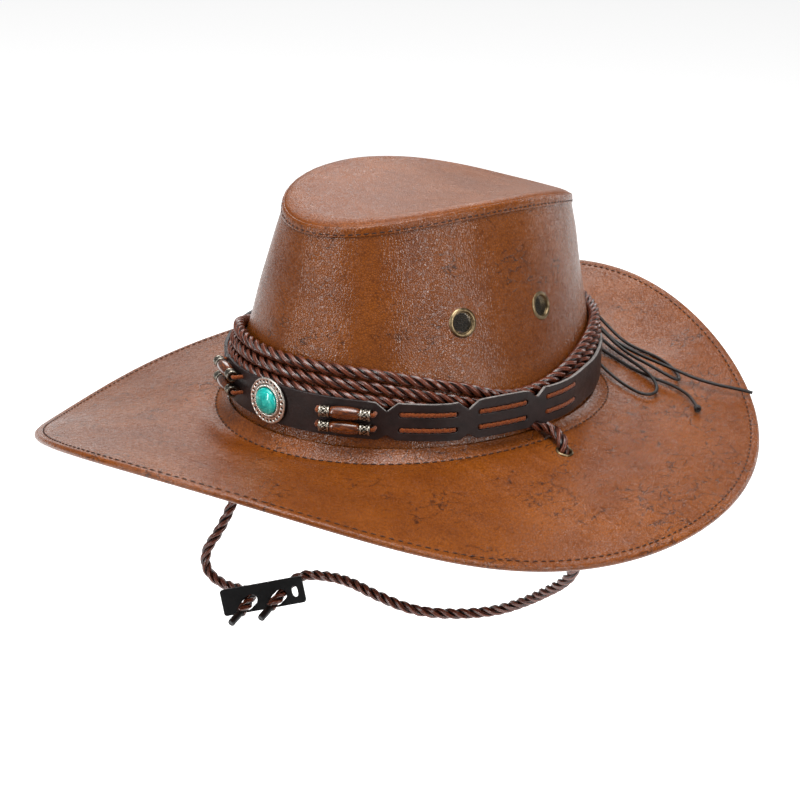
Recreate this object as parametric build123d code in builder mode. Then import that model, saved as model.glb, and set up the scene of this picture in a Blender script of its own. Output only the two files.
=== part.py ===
# Western hat in imitation leather: pinched-front crown sewn to a wired, saddle-shaped brim,
# slotted leather band with beads and a round concho, rope wrapped above the band, and a chin
# cord with a flat slider.  Millimetres, +Z up, front of the hat at -Y, wearer's left at +X,
# origin at the centre of the head opening, level with the lower edge of the sweatband.
from build123d import *
import math
import os

os.makedirs("parts", exist_ok=True)

# ------------------------------------------------------------------ driving dimensions
CROWN_A, CROWN_B = 103.4, 86.3        # half length and half width of the crown at the band
TIP_A, TIP_B = 90.5, 55.3             # half length and half width of the tip seam
TIP_SHIFT, TIP_EGG = 9.4, 0.05        # the tip sits back of centre and is wider in front
LEATHER, LINING, SWEAT = 1.2, 1.0, 1.3
SWEAT_H = 28.0
PLY_TOP, PLY_CORE, PLY_LOW = 1.2, 0.48, 1.2
BRIM_T = 3.6                          # all three brim plies
LIP_R = 1.8                           # half thickness of the rolled edge
WIRE_D = 1.0
RING_OFF = 8.55                       # inner brim stitching, outside the crown ellipse
ROPE_D = 5.9
ROPE_PITCH = 6.0
BAND_T = 1.8
VENT_R, VENT_BORE = 7.5, 5.2
EYELET_R, EYELET_BORE = 4.6, 3.1
EYE_X, EYE_Y = 107.3, -5.5
BEAD_L, BEAD_R, SPACER_L, SPACER_R, LACE_R = 15.0, 3.4, 5.2, 2.9, 1.0
CONCHO_R, STONE_R = 11.75, 7.1
TIE_D = 1.8
TOGGLE_L, TOGGLE_H, TOGGLE_T = 47.0, 15.0, 2.5


def wave(cs, sn, t):
    r = sum(v * math.cos(k * t) for k, v in enumerate(cs))
    return r + sum(v * math.sin((k + 1) * t) for k, v in enumerate(sn))


# brim edge in plan (radius) and height, by angle from the front towards the wearer's left
EDGE_R = ([187.64, 8.28, 6.23, 3.89, 0.6, 1.86], [-1.25, 0.2, -3.26, -0.41])
EDGE_Z = ([-7.57, -7.28, 21.92, 1.23, 4.79, -0.27], [-0.29, 4.56, 0.49, 0.96])


def low_z(t):
    return 7.99 + 0.41 * math.cos(t) + 0.47 * math.cos(2 * t)


def seam_z(y):
    c = (TIP_SHIFT - y) / TIP_A
    return 111.01 + 6.49 * c - 13.52 * c * c - 0.07 * (4 * c ** 3 - 3 * c)


def ellipse_n(t):
    nx, ny = CROWN_A * math.sin(t), -CROWN_B * math.cos(t)
    d = math.hypot(nx, ny)
    return nx / d, ny / d


def crown_pt(t, z, off=0.0):
    """Point of the crown wall at angle t and height z, moved out by off."""
    zb, zt = low_z(t), 104.25 + 6.49 * math.cos(t) - 6.76 * math.cos(2 * t) - 0.07 * math.cos(3 * t)
    k = (z - zb) / (zt - zb)
    x0, y0 = CROWN_B * math.sin(t), -CROWN_A * math.cos(t)
    x1, y1 = TIP_B * math.sin(t) * (1 + TIP_EGG * math.cos(t)), -TIP_A * math.cos(t) + TIP_SHIFT
    nx, ny = ellipse_n(t)
    return (x0 + (x1 - x0) * k + nx * off, y0 + (y1 - y0) * k + ny * off)


def ring_pt(t, off):
    nx, ny = ellipse_n(t)
    return (CROWN_B * math.sin(t) + nx * off, -CROWN_A * math.cos(t) + ny * off)


def polar_r(fn, phi):
    """Radius of a closed plan curve fn(t) in the direction phi from the front."""
    lo, hi = phi - 0.6, phi + 0.6
    for _ in range(50):
        mid = (lo + hi) / 2
        x, y = fn(mid)
        a = math.atan2(x, -y)
        a += 2 * math.pi * round((mid - a) / (2 * math.pi))
        if a < phi:
            lo = mid
        else:
            hi = mid
    x, y = fn((lo + hi) / 2)
    return math.hypot(x, y)


def brim_profile(phi):
    """Top line of the brim in the radial plane phi: list of (radius, height)."""
    re, ze = wave(*EDGE_R, phi), wave(*EDGE_Z, phi)
    r0 = polar_r(lambda t: crown_pt(t, -0.6, 0.2), phi)
    r3 = polar_r(lambda t: ring_pt(t, RING_OFF), phi)
    z3 = -2.03 - 0.1 * math.cos(phi) - 1.33 * math.cos(2 * phi)
    z0, r7, z7 = 3.2, re - LIP_R, ze + LIP_R
    pts = [(r0, z0), (r0 + (r3 - r0) * 0.28, z3 + (z0 - z3) * 0.55), (r0 + (r3 - r0) * 0.62, z3 + (z0 - z3) * 0.2), (r3, z3)]
    for u in (0.12, 0.36, 0.68):
        pts.append((r3 + (r7 - r3) * u, z3 + (z7 - z3) * u))
    pts.append((r7, z7))
    return pts, re, ze


def brim_top(x, y):
    phi, rho = math.atan2(x, -y), math.hypot(x, y)
    pts, _, _ = brim_profile(phi)
    for (ra, za), (rb, zb) in zip(pts, pts[1:]):
        if rho <= rb:
            return za + (zb - za) * (rho - ra) / (rb - ra)
    return pts[-1][1]


def radial_plane(phi):
    return Plane(origin=(0, 0, 0), x_dir=(math.sin(phi), -math.cos(phi), 0), z_dir=(-math.cos(phi), -math.sin(phi), 0))


def corner_radii(pts, most=200.0):
    out = []
    for a, b, c in zip(pts, pts[1:], pts[2:]):
        u, v = Vector(*b) - Vector(*a), Vector(*c) - Vector(*b)
        turn = math.radians(u.get_angle(v))
        out.append(min(most, 0.45 * min(u.length, v.length) / math.tan(turn / 2)))
    return out


def report_cord(name, pts, radii, d, part):
    turns = [round((Vector(*b) - Vector(*a)).get_angle(Vector(*c) - Vector(*b))) for a, b, c in zip(pts, pts[1:], pts[2:])]
    print(name, "radii", [round(r, 1) for r in radii], "turns", turns)


N_RING = 40
ANG = [2 * math.pi * k / N_RING for k in range(N_RING)]


def wall_loft(off, mode=Mode.ADD):
    """Ruled loft of the crown wall between two level sections, in the active part."""
    sections = []
    for z in (-2.0, 126.0):
        ring = Edge.make_spline([crown_pt(t, z, off) for t in ANG], periodic=True, parameters=[k / N_RING for k in range(N_RING + 1)])
        with BuildSketch(Plane.XY.offset(z)) as level:
            with BuildLine():
                add(ring)
            make_face()
        sections.append(level.sketch.face())
    loft(sections=sections, ruled=True, mode=mode)


def keep_between(low, high, reach=125.0):
    """Keep what lies between two height lines low(y) and high(y)."""
    ys = [-reach + 2 * reach * k / 24 for k in range(25)]
    with BuildSketch(Plane.YZ) as side:
        with BuildLine():
            a = Spline(*[(y, high(y)) for y in ys])
            b = Spline(*[(y, low(y)) for y in ys])
            Line(a @ 0, b @ 0)
            Line(a @ 1, b @ 1)
        make_face()
    extrude(side.sketch.face(), amount=125, both=True, mode=Mode.INTERSECT)


def frame_on_wall(t, z, off=0.0):
    """Plane on the crown wall, z_dir out of the crown."""
    e = 1e-3
    p = Vector(*crown_pt(t, z, off), z)
    u = Vector(*crown_pt(t + e, z, off), z) - p
    v = Vector(*crown_pt(t, z + 0.1, off), z + 0.1) - p
    n = u.cross(v).normalized()
    if n.dot(Vector(p.X, p.Y, 0)) < 0:
        n = n * -1
    return Plane(origin=p, x_dir=u.normalized(), z_dir=n)


VENTS = [(math.radians(64.5), 59.6), (math.radians(96.0), 58.8), (math.radians(-64.5), 59.6), (math.radians(-96.0), 58.8)]
VENT_PLANES = [frame_on_wall(t, z) for t, z in VENTS]

# ------------------------------------------------------------------ crown
with BuildPart() as crown_side:
    wall_loft(0.0)
    wall_loft(-LEATHER, mode=Mode.SUBTRACT)
    keep_between(lambda y: 0.2, lambda y: seam_z(y) - 0.1)
    for pl in VENT_PLANES:
        with BuildSketch(pl.offset(-5)):
            Circle(6.2)
        extrude(amount=9, mode=Mode.SUBTRACT)
crown_side.part.label = "crown_side"

with BuildPart() as crown_tip:
    wall_loft(0.0)
    keep_between(lambda y: seam_z(y) - 0.05, lambda y: seam_z(y) + 1.15)
crown_tip.part.label = "crown_tip"

with BuildPart() as tip_welt:
    wall_loft(0.85)
    wall_loft(0.05, mode=Mode.SUBTRACT)
    keep_between(lambda y: seam_z(y) - 4.4, lambda y: seam_z(y) - 0.15)
tip_welt.part.label = "tip_welt"

with BuildPart() as crown_side_lining:
    wall_loft(-LEATHER - 0.05)
    wall_loft(-LEATHER - 0.05 - LINING, mode=Mode.SUBTRACT)
    keep_between(lambda y: 0.3, lambda y: seam_z(y) - 1.7)
    for pl in VENT_PLANES:
        with BuildSketch(pl.offset(-6)):
            Circle(6.2)
        extrude(amount=9, mode=Mode.SUBTRACT)
crown_side_lining.part.label = "crown_side_lining"

with BuildPart() as crown_tip_lining:
    wall_loft(-LEATHER - 0.1)
    keep_between(lambda y: seam_z(y) - 1.6, lambda y: seam_z(y) - 0.15)
crown_tip_lining.part.label = "crown_tip_lining"

with BuildPart() as sweatband:
    wall_loft(-LEATHER - LINING - 0.1)
    wall_loft(-LEATHER - LINING - 0.1 - SWEAT, mode=Mode.SUBTRACT)
    keep_between(lambda y: 0.0, lambda y: SWEAT_H)
sweatband.part.label = "sweatband"

# ------------------------------------------------------------------ brim plies
STEP = 12
HALF_A = [math.radians(180.0 * k / STEP) for k in range(STEP + 1)]
HALF_B = [math.radians(180.0 + 180.0 * k / STEP) for k in range(STEP + 1)]


def ply_section(phi, top, low, r_in, r_out):
    """Thin strip section between offsets top and low under the brim's top line."""
    pts, re, ze = brim_profile(phi)
    line = [(pts[0][0] + r_in, pts[0][1])] + pts[1:-1] + [(re - r_out, 0)]
    (ra, za), (rb, zb) = pts[-2], pts[-1]
    line[-1] = (re - r_out, za + (zb - za) * (re - r_out - ra) / (rb - ra))
    with BuildSketch(radial_plane(phi)) as strip:
        with BuildLine():
            a = Spline(*[(r, z + top) for r, z in line])
            b = Spline(*[(r, z + low) for r, z in line])
            Line(a @ 0, b @ 0)
            Line(a @ 1, b @ 1)
        make_face()
    return strip.sketch.face()


def upper_section(phi):
    """Upper ply: strip that rolls round the wire and turns under at the edge."""
    pts, re, ze = brim_profile(phi)
    with BuildSketch(radial_plane(phi)) as strip:
        with BuildLine():
            a = Spline(*pts)
            b = Spline(*[(r, z - PLY_TOP) for r, z in pts])
            ThreePointArc((re - LIP_R, ze + LIP_R), (re, ze), (re - LIP_R, ze - LIP_R))
            Polyline((re - LIP_R, ze - LIP_R), (re - 4.4, ze - LIP_R), (re - 4.4, ze - 0.9), (re - LIP_R, ze - 0.9))
            ThreePointArc((re - LIP_R, ze - 0.9), (re - 1.05, ze - 0.15), (re - LIP_R, ze + 0.6))
            Line(a @ 0, b @ 0)
        make_face()
    return strip.sketch.face()


def brim_holes(r):
    for s in (1, -1):
        with BuildSketch(eyelet_plane(s).offset(-8)) as hole:
            Circle(r)
        extrude(hole.sketch.face(), amount=16, mode=Mode.SUBTRACT)


def eyelet_plane(s):
    x, y = s * EYE_X, EYE_Y
    z = brim_top(x, y)
    e = 0.5
    gx = (brim_top(x + e, y) - brim_top(x - e, y)) / (2 * e)
    gy = (brim_top(x, y + e) - brim_top(x, y - e)) / (2 * e)
    return Plane(origin=(x, y, z), x_dir=(1, 0, gx), z_dir=(-gx, -gy, 1))


with BuildPart() as brim_upper:
    loft(sections=[upper_section(phi) for phi in HALF_A])
    loft(sections=[upper_section(phi) for phi in HALF_B])
    brim_holes(4.1)
brim_upper.part.label = "brim_upper"

with BuildPart() as brim_stiffener:
    loft(sections=[ply_section(phi, -PLY_TOP - 0.42, -PLY_TOP - 0.42 - PLY_CORE, 0.3, 4.6) for phi in HALF_A])
    loft(sections=[ply_section(phi, -PLY_TOP - 0.42, -PLY_TOP - 0.42 - PLY_CORE, 0.3, 4.6) for phi in HALF_B])
    brim_holes(4.1)
brim_stiffener.part.label = "brim_stiffener"

with BuildPart() as brim_lower:
    loft(sections=[ply_section(phi, -BRIM_T + PLY_LOW, -BRIM_T, 0.0, 4.5) for phi in HALF_A])
    loft(sections=[ply_section(phi, -BRIM_T + PLY_LOW, -BRIM_T, 0.0, 4.5) for phi in HALF_B])
    brim_holes(4.1)
brim_lower.part.label = "brim_lower"


def wire_section(phi):
    _, re, ze = brim_profile(phi)
    with BuildSketch(radial_plane(phi)) as cut:
        with Locations((re - LIP_R - 0.5, ze - 0.18)):
            RegularPolygon(radius=WIRE_D / 2, side_count=10)
    return cut.sketch.face()


with BuildPart() as brim_edge_wire:
    loft(sections=[wire_section(phi) for phi in HALF_A])
    loft(sections=[wire_section(phi) for phi in HALF_B])
brim_edge_wire.part.label = "brim_edge_wire"

# ------------------------------------------------------------------ vents and chin-cord eyelets
with BuildPart() as vent_eyelets:
    for pl in VENT_PLANES:
        with BuildSketch(pl.offset(0.05)):
            Circle(VENT_R)
            Circle(VENT_BORE, mode=Mode.SUBTRACT)
        extrude(amount=0.9)
        with BuildSketch(pl.offset(-3.6)):
            Circle(6.0)
            Circle(VENT_BORE, mode=Mode.SUBTRACT)
        extrude(amount=3.8)
vent_eyelets.part.label = "vent_eyelets"

with BuildPart() as vent_washers:
    for pl in VENT_PLANES:
        with BuildSketch(pl.offset(-3.4)):
            Circle(7.9)
            Circle(6.05, mode=Mode.SUBTRACT)
        extrude(amount=0.6)
vent_washers.part.label = "vent_washers"

with BuildPart() as vent_screens:
    for pl in VENT_PLANES:
        with BuildSketch(pl.offset(-1.6)):
            Circle(VENT_BORE - 0.05)
            with GridLocations(1.7, 1.7, 4, 4):
                Rectangle(0.9, 0.9, mode=Mode.SUBTRACT)
        extrude(amount=0.5)
vent_screens.part.label = "vent_screens"

with BuildPart() as chin_eyelets:
    for s in (1, -1):
        with BuildSketch(eyelet_plane(s).offset(0.1)):
            Circle(EYELET_R)
            Circle(EYELET_BORE, mode=Mode.SUBTRACT)
        extrude(amount=0.9)
        with BuildSketch(eyelet_plane(s).offset(-BRIM_T - 0.9)):
            Circle(3.9)
            Circle(EYELET_BORE, mode=Mode.SUBTRACT)
        extrude(amount=BRIM_T + 1.2)
chin_eyelets.part.label = "chin_eyelets"

with BuildPart() as chin_eyelet_washers:
    for s in (1, -1):
        with BuildSketch(eyelet_plane(s).offset(-BRIM_T - 0.75)):
            Circle(5.2)
            Circle(3.95, mode=Mode.SUBTRACT)
        extrude(amount=0.6)
chin_eyelet_washers.part.label = "chin_eyelet_washers"


# ------------------------------------------------------------------ hat band
def table(pairs, v):
    if v <= pairs[0][0]:
        return pairs[0][1]
    for (a, p), (b, q) in zip(pairs, pairs[1:]):
        if v <= b:
            f = (v - a) / (b - a)
            f = f * f * (3 - 2 * f)
            return p + (q - p) * f
    return pairs[-1][1]


def band_off(t):
    """Inner face of the band, outside the crown ellipse: close in front, pushed out by the rope at the sides."""
    d = math.degrees(math.atan2(math.sin(t), math.cos(t)))
    return table([(-72, 6.2), (-45, 2.8), (-30, 1.6), (28, 1.6), (41, 2.8), (58, 6.2), (92, 6.2), (112, 3.0), (128, 2.0), (146, 2.2), (168, 6.2)], d)


def band_low(y):
    c = max(-1.06, min(1.06, -y / 109.0))
    return 7.7 + 0.9 * max(c, 0) ** 2 + 3.6 * max(-c - 0.35, 0) ** 2 * 2.2


def band_high(y):
    c = max(-1.06, min(1.06, -y / 109.0))
    front = -2.06 * c + 5.0 * c * c if c > 0 else -0.6 * c + 0.4 * c * c
    return 25.9 + front + 2.2 * math.exp(-((c - 0.3) / 0.25) ** 2)


def band_frame(deg, z, extra=0.0):
    """Plane on the band's outer face, x along the band, y up, z out."""
    t = math.radians(deg)
    o = band_off(t) + BAND_T + extra
    p = Vector(*ring_pt(t, o), z)
    e = 0.01
    q = Vector(*ring_pt(t + e, band_off(t + e) + BAND_T + extra), z)
    u = (q - p).normalized()
    return Plane(origin=p, x_dir=u, z_dir=u.cross(Vector(0, 0, 1)))


BEADS_R = [(22.0, 34.0, 22.0), (22.0, 34.0, 14.6)]         # first angle, last angle, height
BEADS_L = [(-28.5, -16.5, 24.6), (-28.5, -16.5, 16.4)]
STRANDS = {"bead_left_front_upper": BEADS_R[0], "bead_left_front_lower": BEADS_R[1],
           "bead_right_front_upper": BEADS_L[0], "bead_right_front_lower": BEADS_L[1]}


def strand_axis(spec):
    a, b, z = spec
    o = 3.4 + 4.0
    p, q = Vector(*ring_pt(math.radians(a), o), z), Vector(*ring_pt(math.radians(b), o), z)
    return p, q


def strand_plane(spec):
    p, q = strand_axis(spec)
    return Plane(origin=(p + q) / 2, x_dir=(0, 0, 1), z_dir=(q - p).normalized())


LINKS = [(51.3, 29.5), (72.8, 29.5), (94.0, 27.0), (-46.0, 29.0), (-68.0, 29.0), (-89.5, 27.0)]
NOTCHES = [39.8, 62.3, 83.8, -34.7, -57.0, -78.8]
with BuildPart() as hat_band:
    with BuildSketch():
        with BuildLine():
            Spline(*[ring_pt(t, band_off(t) + BAND_T) for t in [math.radians(5 * k) for k in range(72)]], periodic=True)
        make_face()
        with BuildLine():
            Spline(*[ring_pt(t, band_off(t)) for t in [math.radians(5 * k) for k in range(72)]], periodic=True)
        make_face(mode=Mode.SUBTRACT)
    extrude(amount=45)
    keep_between(band_low, band_high)
    with Locations((0, 112, 20)):
        Box(7, 16, 60, mode=Mode.SUBTRACT)
    for deg, length in LINKS:
        for z in (21.4, 13.4):
            with BuildSketch(band_frame(deg, z).offset(-5)):
                SlotOverall(length, 2.8)
            extrude(amount=8, mode=Mode.SUBTRACT)
    for deg in NOTCHES:
        zc = band_frame(deg, 0).origin
        hi, lo = band_high(zc.Y), band_low(zc.Y)
        with BuildSketch(band_frame(deg, hi).offset(-5)):
            Polygon((-5.8, 0.6), (0, -4.2), (5.8, 0.6), align=None)
        extrude(amount=8, mode=Mode.SUBTRACT)
        with BuildSketch(band_frame(deg, lo).offset(-5)):
            Polygon((-4.8, -0.6), (4.8, -0.6), (0, 2.6), align=None)
        extrude(amount=8, mode=Mode.SUBTRACT)
    for spec in STRANDS.values():
        pl = strand_plane(spec)
        for s in (-1, 1):
            with BuildSketch(Plane(origin=pl.origin + pl.z_dir * (s * 14.2), x_dir=pl.z_dir, z_dir=pl.z_dir.cross(Vector(0, 0, 1)))):
                Circle(LACE_R + 0.1)
            extrude(amount=10, both=True, mode=Mode.SUBTRACT)
    with BuildSketch(band_frame(1.0, 19.4).offset(-5)):
        Circle(2.1)
    extrude(amount=8, mode=Mode.SUBTRACT)
    for deg in (174.0, -174.0):
        with BuildSketch(band_frame(deg, 22.0).offset(-5)):
            Circle(1.5)
        extrude(amount=8, mode=Mode.SUBTRACT)
hat_band.part.label = "hat_band"


# suede laces that run behind the slots of each row
def lace_ring(z, lo_deg, hi_deg):
    n = 14
    ts = [math.radians(lo_deg + (hi_deg - lo_deg) * k / n) for k in range(n + 1)]
    with BuildSketch(Plane.XY.offset(z - 1.5)) as strip:
        with BuildLine():
            a = Spline(*[ring_pt(t, band_off(t) - 0.05) for t in ts])
            b = Spline(*[ring_pt(t, band_off(t) - 0.55) for t in ts])
            Line(a @ 0, b @ 0)
            Line(a @ 1, b @ 1)
        make_face()
    extrude(strip.sketch.face(), amount=3.0)


with BuildPart() as upper_lace:
    lace_ring(21.4, 41.5, 103.5)
    lace_ring(21.4, -98.5, -36.5)
upper_lace.part.label = "upper_lace"

with BuildPart() as lower_lace:
    lace_ring(13.4, 41.5, 103.5)
    lace_ring(13.4, -98.5, -36.5)
lower_lace.part.label = "lower_lace"

# lace loops that carry the beads: out of the band, along the strand, back into the band
with BuildPart() as bead_laces:
    for spec in STRANDS.values():
        pl = strand_plane(spec)
        inward = pl.z_dir.cross(Vector(0, 0, 1)) * -1
        if inward.dot(Vector(pl.origin.X, pl.origin.Y, 0)) > 0:
            inward = inward * -1
        e0, e1 = pl.origin - pl.z_dir * 14.2, pl.origin + pl.z_dir * 14.2
        with BuildLine() as run:
            FilletPolyline(e0 + inward * 6.2, e0, e1, e1 + inward * 6.2, radius=1.4)
        with BuildSketch(Plane(origin=run.line @ 0, z_dir=run.line % 0)):
            Circle(LACE_R)
        sweep()
bead_laces.part.label = "bead_laces"


def bead_profile(pl):
    """Barrel-shaped wooden bead along the plane's z."""
    h = BEAD_L / 2
    with BuildSketch(Plane(origin=pl.origin, x_dir=pl.x_dir, z_dir=pl.y_dir * -1)) as half:
        with BuildLine():
            Line((LACE_R + 0.06, -h), (2.3, -h))
            Spline((2.3, -h), (3.0, -h * 0.62), (BEAD_R, 0), (3.0, h * 0.62), (2.3, h))
            Line((2.3, h), (LACE_R + 0.06, h))
            Line((LACE_R + 0.06, h), (LACE_R + 0.06, -h))
        make_face()
    revolve(half.sketch.face(), axis=Axis(pl.origin, pl.z_dir))


def spacer_profile(pl, s):
    h0, h1 = BEAD_L / 2 + 0.05, BEAD_L / 2 + 0.05 + SPACER_L
    with BuildSketch(Plane(origin=pl.origin, x_dir=pl.x_dir, z_dir=pl.y_dir * -1)) as half:
        with BuildLine():
            Polyline((LACE_R + 0.06, s * h0), (SPACER_R, s * h0), (SPACER_R, s * (h0 + 0.9)), (SPACER_R - 0.35, s * (h0 + 1.3)),
                     (SPACER_R - 0.35, s * (h1 - 1.3)), (SPACER_R, s * (h1 - 0.9)), (SPACER_R, s * h1), (LACE_R + 0.06, s * h1),
                     (LACE_R + 0.06, s * h0))
        make_face()
    revolve(half.sketch.face(), axis=Axis(pl.origin, pl.z_dir))


with BuildPart() as bead_left_front_upper:
    bead_profile(strand_plane(BEADS_R[0]))
bead_left_front_upper.part.label = "bead_left_front_upper"
with BuildPart() as bead_left_front_lower:
    bead_profile(strand_plane(BEADS_R[1]))
bead_left_front_lower.part.label = "bead_left_front_lower"
with BuildPart() as bead_right_front_upper:
    bead_profile(strand_plane(BEADS_L[0]))
bead_right_front_upper.part.label = "bead_right_front_upper"
with BuildPart() as bead_right_front_lower:
    bead_profile(strand_plane(BEADS_L[1]))
bead_right_front_lower.part.label = "bead_right_front_lower"
with BuildPart() as spacers_left_front_upper:
    spacer_profile(strand_plane(BEADS_R[0]), 1)
    spacer_profile(strand_plane(BEADS_R[0]), -1)
spacers_left_front_upper.part.label = "spacers_left_front_upper"
with BuildPart() as spacers_left_front_lower:
    spacer_profile(strand_plane(BEADS_R[1]), 1)
    spacer_profile(strand_plane(BEADS_R[1]), -1)
spacers_left_front_lower.part.label = "spacers_left_front_lower"
with BuildPart() as spacers_right_front_upper:
    spacer_profile(strand_plane(BEADS_L[0]), 1)
    spacer_profile(strand_plane(BEADS_L[0]), -1)
spacers_right_front_upper.part.label = "spacers_right_front_upper"
with BuildPart() as spacers_right_front_lower:
    spacer_profile(strand_plane(BEADS_L[1]), 1)
    spacer_profile(strand_plane(BEADS_L[1]), -1)
spacers_right_front_lower.part.label = "spacers_right_front_lower"

# ------------------------------------------------------------------ concho
CONCHO = band_frame(1.0, 19.4)
with BuildPart() as concho_plate:
    with BuildSketch(CONCHO.offset(0.15)):
        Circle(CONCHO_R)
    extrude(amount=1.3)
    fillet(concho_plate.edges().group_by(Axis(CONCHO.origin, CONCHO.z_dir))[-1], 0.6)
    with BuildSketch(CONCHO.offset(1.4)):
        Circle(STONE_R + 1.5)
        Circle(STONE_R + 0.05, mode=Mode.SUBTRACT)
    extrude(amount=1.1)
    with BuildSketch(CONCHO.offset(0.1)):
        with PolarLocations(10.0, 28):
            Circle(0.45)
    extrude(amount=3, mode=Mode.SUBTRACT)
concho_plate.part.label = "concho_plate"

DOME_R = 10.2
with BuildPart() as concho_stone:
    with BuildSketch(CONCHO.offset(1.5)):
        Circle(STONE_R)
    extrude(amount=4.5)
    with Locations(CONCHO.offset(1.5 + 3.7 - DOME_R).origin):
        Sphere(DOME_R, mode=Mode.INTERSECT)
concho_stone.part.label = "concho_stone"

with BuildPart() as concho_screw:
    with BuildSketch(CONCHO.offset(0.15)):
        Circle(1.95)
    extrude(amount=-2.2)
    with BuildSketch(CONCHO.offset(-BAND_T - 0.1)):
        Circle(4.0)
    extrude(amount=-1.1)
    with BuildSketch(CONCHO.offset(-BAND_T - 1.2)):
        Rectangle(6.4, 0.8)
    extrude(amount=0.5, mode=Mode.SUBTRACT)
concho_screw.part.label = "concho_screw"


# ------------------------------------------------------------------ rope wrapped above the band
def low_strand(deg):
    """Height of the lowest strand at an angle from the front: over the band's top edge in front,
    behind the band at both sides, and up again round the back."""
    d = (deg + 180.0) % 360.0 - 180.0
    return table([(-180, 29.0), (-140, 26.5), (-128, 24.5), (-112, 19.0), (-94, 10.9), (-75, 10.9), (-58, 19.5), (-42, 25.5), (-30, 27.8), (0, 28.6), (22, 28.2),
                  (40, 26.0), (58, 21.0), (74, 10.9), (90, 10.9), (112, 19.0), (128, 24.5), (140, 26.5), (180, 29.0)], d)


def rope_lift(turned):
    """Rise of the rope after turning by this many degrees: one pitch each time it passes the back."""
    return ROPE_PITCH * sum(max(0.0, min(1.0, (-110.0 - 360.0 * k - turned) / 140.0)) for k in (0, 1))


def rope_out(deg):
    """Slack that stands the rope away from the crown at both edges of the front."""
    d = (deg + 180.0) % 360.0 - 180.0
    return table([(-66, 0.0), (-46, 0.9), (-36, 0.9), (-15, 0.0), (112, 0.0), (130, 0.9), (150, 0.6), (172, 0.0)], d)


def rope_pt(deg, z, out=0.0):
    t = math.radians(deg)
    o = ROPE_D / 2 + 1.35 + out
    x, y = crown_pt(t, z, o)
    return (x, y, z)


EYE_P = {s: eyelet_plane(s) for s in (1, -1)}


def eye_pt(s, h):
    p = EYE_P[s].origin + EYE_P[s].z_dir * h
    return (p.X, p.Y, p.Z)


rope_route = [eye_pt(1, -BRIM_T - 1.8), eye_pt(1, 4.6), (*ring_pt(math.radians(89.5), 8.5), 4.4), (*ring_pt(math.radians(83.5), 3.2), 7.8), rope_pt(74, 10.5)]
for j in range(71):                                                    # two and a half turns, 12 degrees a step
    turned = 64.0 - 12.0 * j
    rope_route.append(rope_pt(turned, low_strand(turned) + rope_lift(turned), rope_out(turned)))
rope_route += [rope_pt(-68, 26.6), rope_pt(-80, 28.4), rope_pt(-91, 31.0, 1.2)]
rope_route += [(*ring_pt(math.radians(-100), 9.8), 31.5), (*ring_pt(math.radians(-105.5), 13.8), 25.5), (*ring_pt(math.radians(-105.5), 15.5), 16.5),
               (*ring_pt(math.radians(-99.5), 17.0), 9.5), (*ring_pt(math.radians(-91.5), 19.0), 5.6)]
rope_route += [eye_pt(-1, 3.6), eye_pt(-1, -BRIM_T - 1.8)]
rope_radii = corner_radii(rope_route)
with BuildPart() as rope_wraps:
    with BuildLine() as run:
        FilletPolyline(*rope_route, radius=rope_radii)
    with BuildSketch(Plane(origin=run.line @ 0, z_dir=run.line % 0)):
        Circle(ROPE_D / 2)
    sweep()
    rope_length = sum(e.length for e in run.edges())
rope_wraps.part.label = "rope_wraps"
report_cord("rope_wraps", rope_route, rope_radii, ROPE_D, rope_wraps)
print("rope_wraps length", round(rope_length, 1), "volume ratio", round(rope_wraps.part.volume / (math.pi * ROPE_D ** 2 / 4 * rope_length), 4))

# ------------------------------------------------------------------ chin cord, slider and its two ends
T_N = Vector(0.6022, -0.7708, 0.2079)                 # out of the slider's face
T_O = Vector(-71.83, -41.0, -133.63)                  # slider centre
T_H = Vector(0.788, 0.6157, 0.0)
T_V = T_N.cross(T_H).normalized()
SL_A = math.radians(14.3)
T_U = T_H * math.cos(SL_A) + T_V * math.sin(SL_A)     # along the slider
T_W = T_N.cross(T_U)
SLIDE = Vector(0.200, -0.924, -0.325).normalized()    # way of the cord through the slider
HOLE_1 = T_O + T_U * -8.2 + T_W * -2.0
HOLE_2 = T_O + T_U * 8.7 + T_W * -2.2
TIP_START, TIP_LEN, TIP_R = 9.5, 9.5, 2.1


def vt(v):
    return (round(v.X, 2), round(v.Y, 2), round(v.Z, 2))


_p = EYE_P[1].origin - EYE_P[1].z_dir * (BRIM_T + 1.8 + 0.4 + ROPE_D / 2)
PIVOT = {s: Vector(s * round(_p.X, 2), -5.35, round(_p.Z, 2)) for s in (1, -1)}
left_route = [vt(PIVOT[1]), (108.6, -4.2, -31.0), (112.6, 0.6, -50.0), (111.2, 5.4, -68.0), (102.0, 9.6, -81.0), (87.0, 14.5, -93.0),
              (68.0, 17.8, -107.5), (47.5, 16.6, -120.0), (26.5, 7.0, -126.0), (8.0, -4.5, -126.5), (-13.0, -12.0, -122.0),
              (-33.0, -13.5, -119.5), (-52.0, -16.8, -121.5), (-63.0, -22.5, -124.0), vt(HOLE_2 - SLIDE * 8.5), vt(HOLE_2 + SLIDE * TIP_START)]
right_route = [vt(PIVOT[-1]), (-107.4, -6.6, -31.0), (-110.0, -10.8, -53.0), (-113.0, -17.0, -74.0), (-113.6, -25.0, -94.0), (-115.4, -34.0, -110.0),
               (-120.6, -40.5, -122.0), (-118.5, -42.0, -133.0), (-106.0, -41.5, -137.5), (-91.0, -40.5, -136.2), vt(HOLE_1 - SLIDE * 8.5),
               vt(HOLE_1 + SLIDE * TIP_START)]


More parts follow.
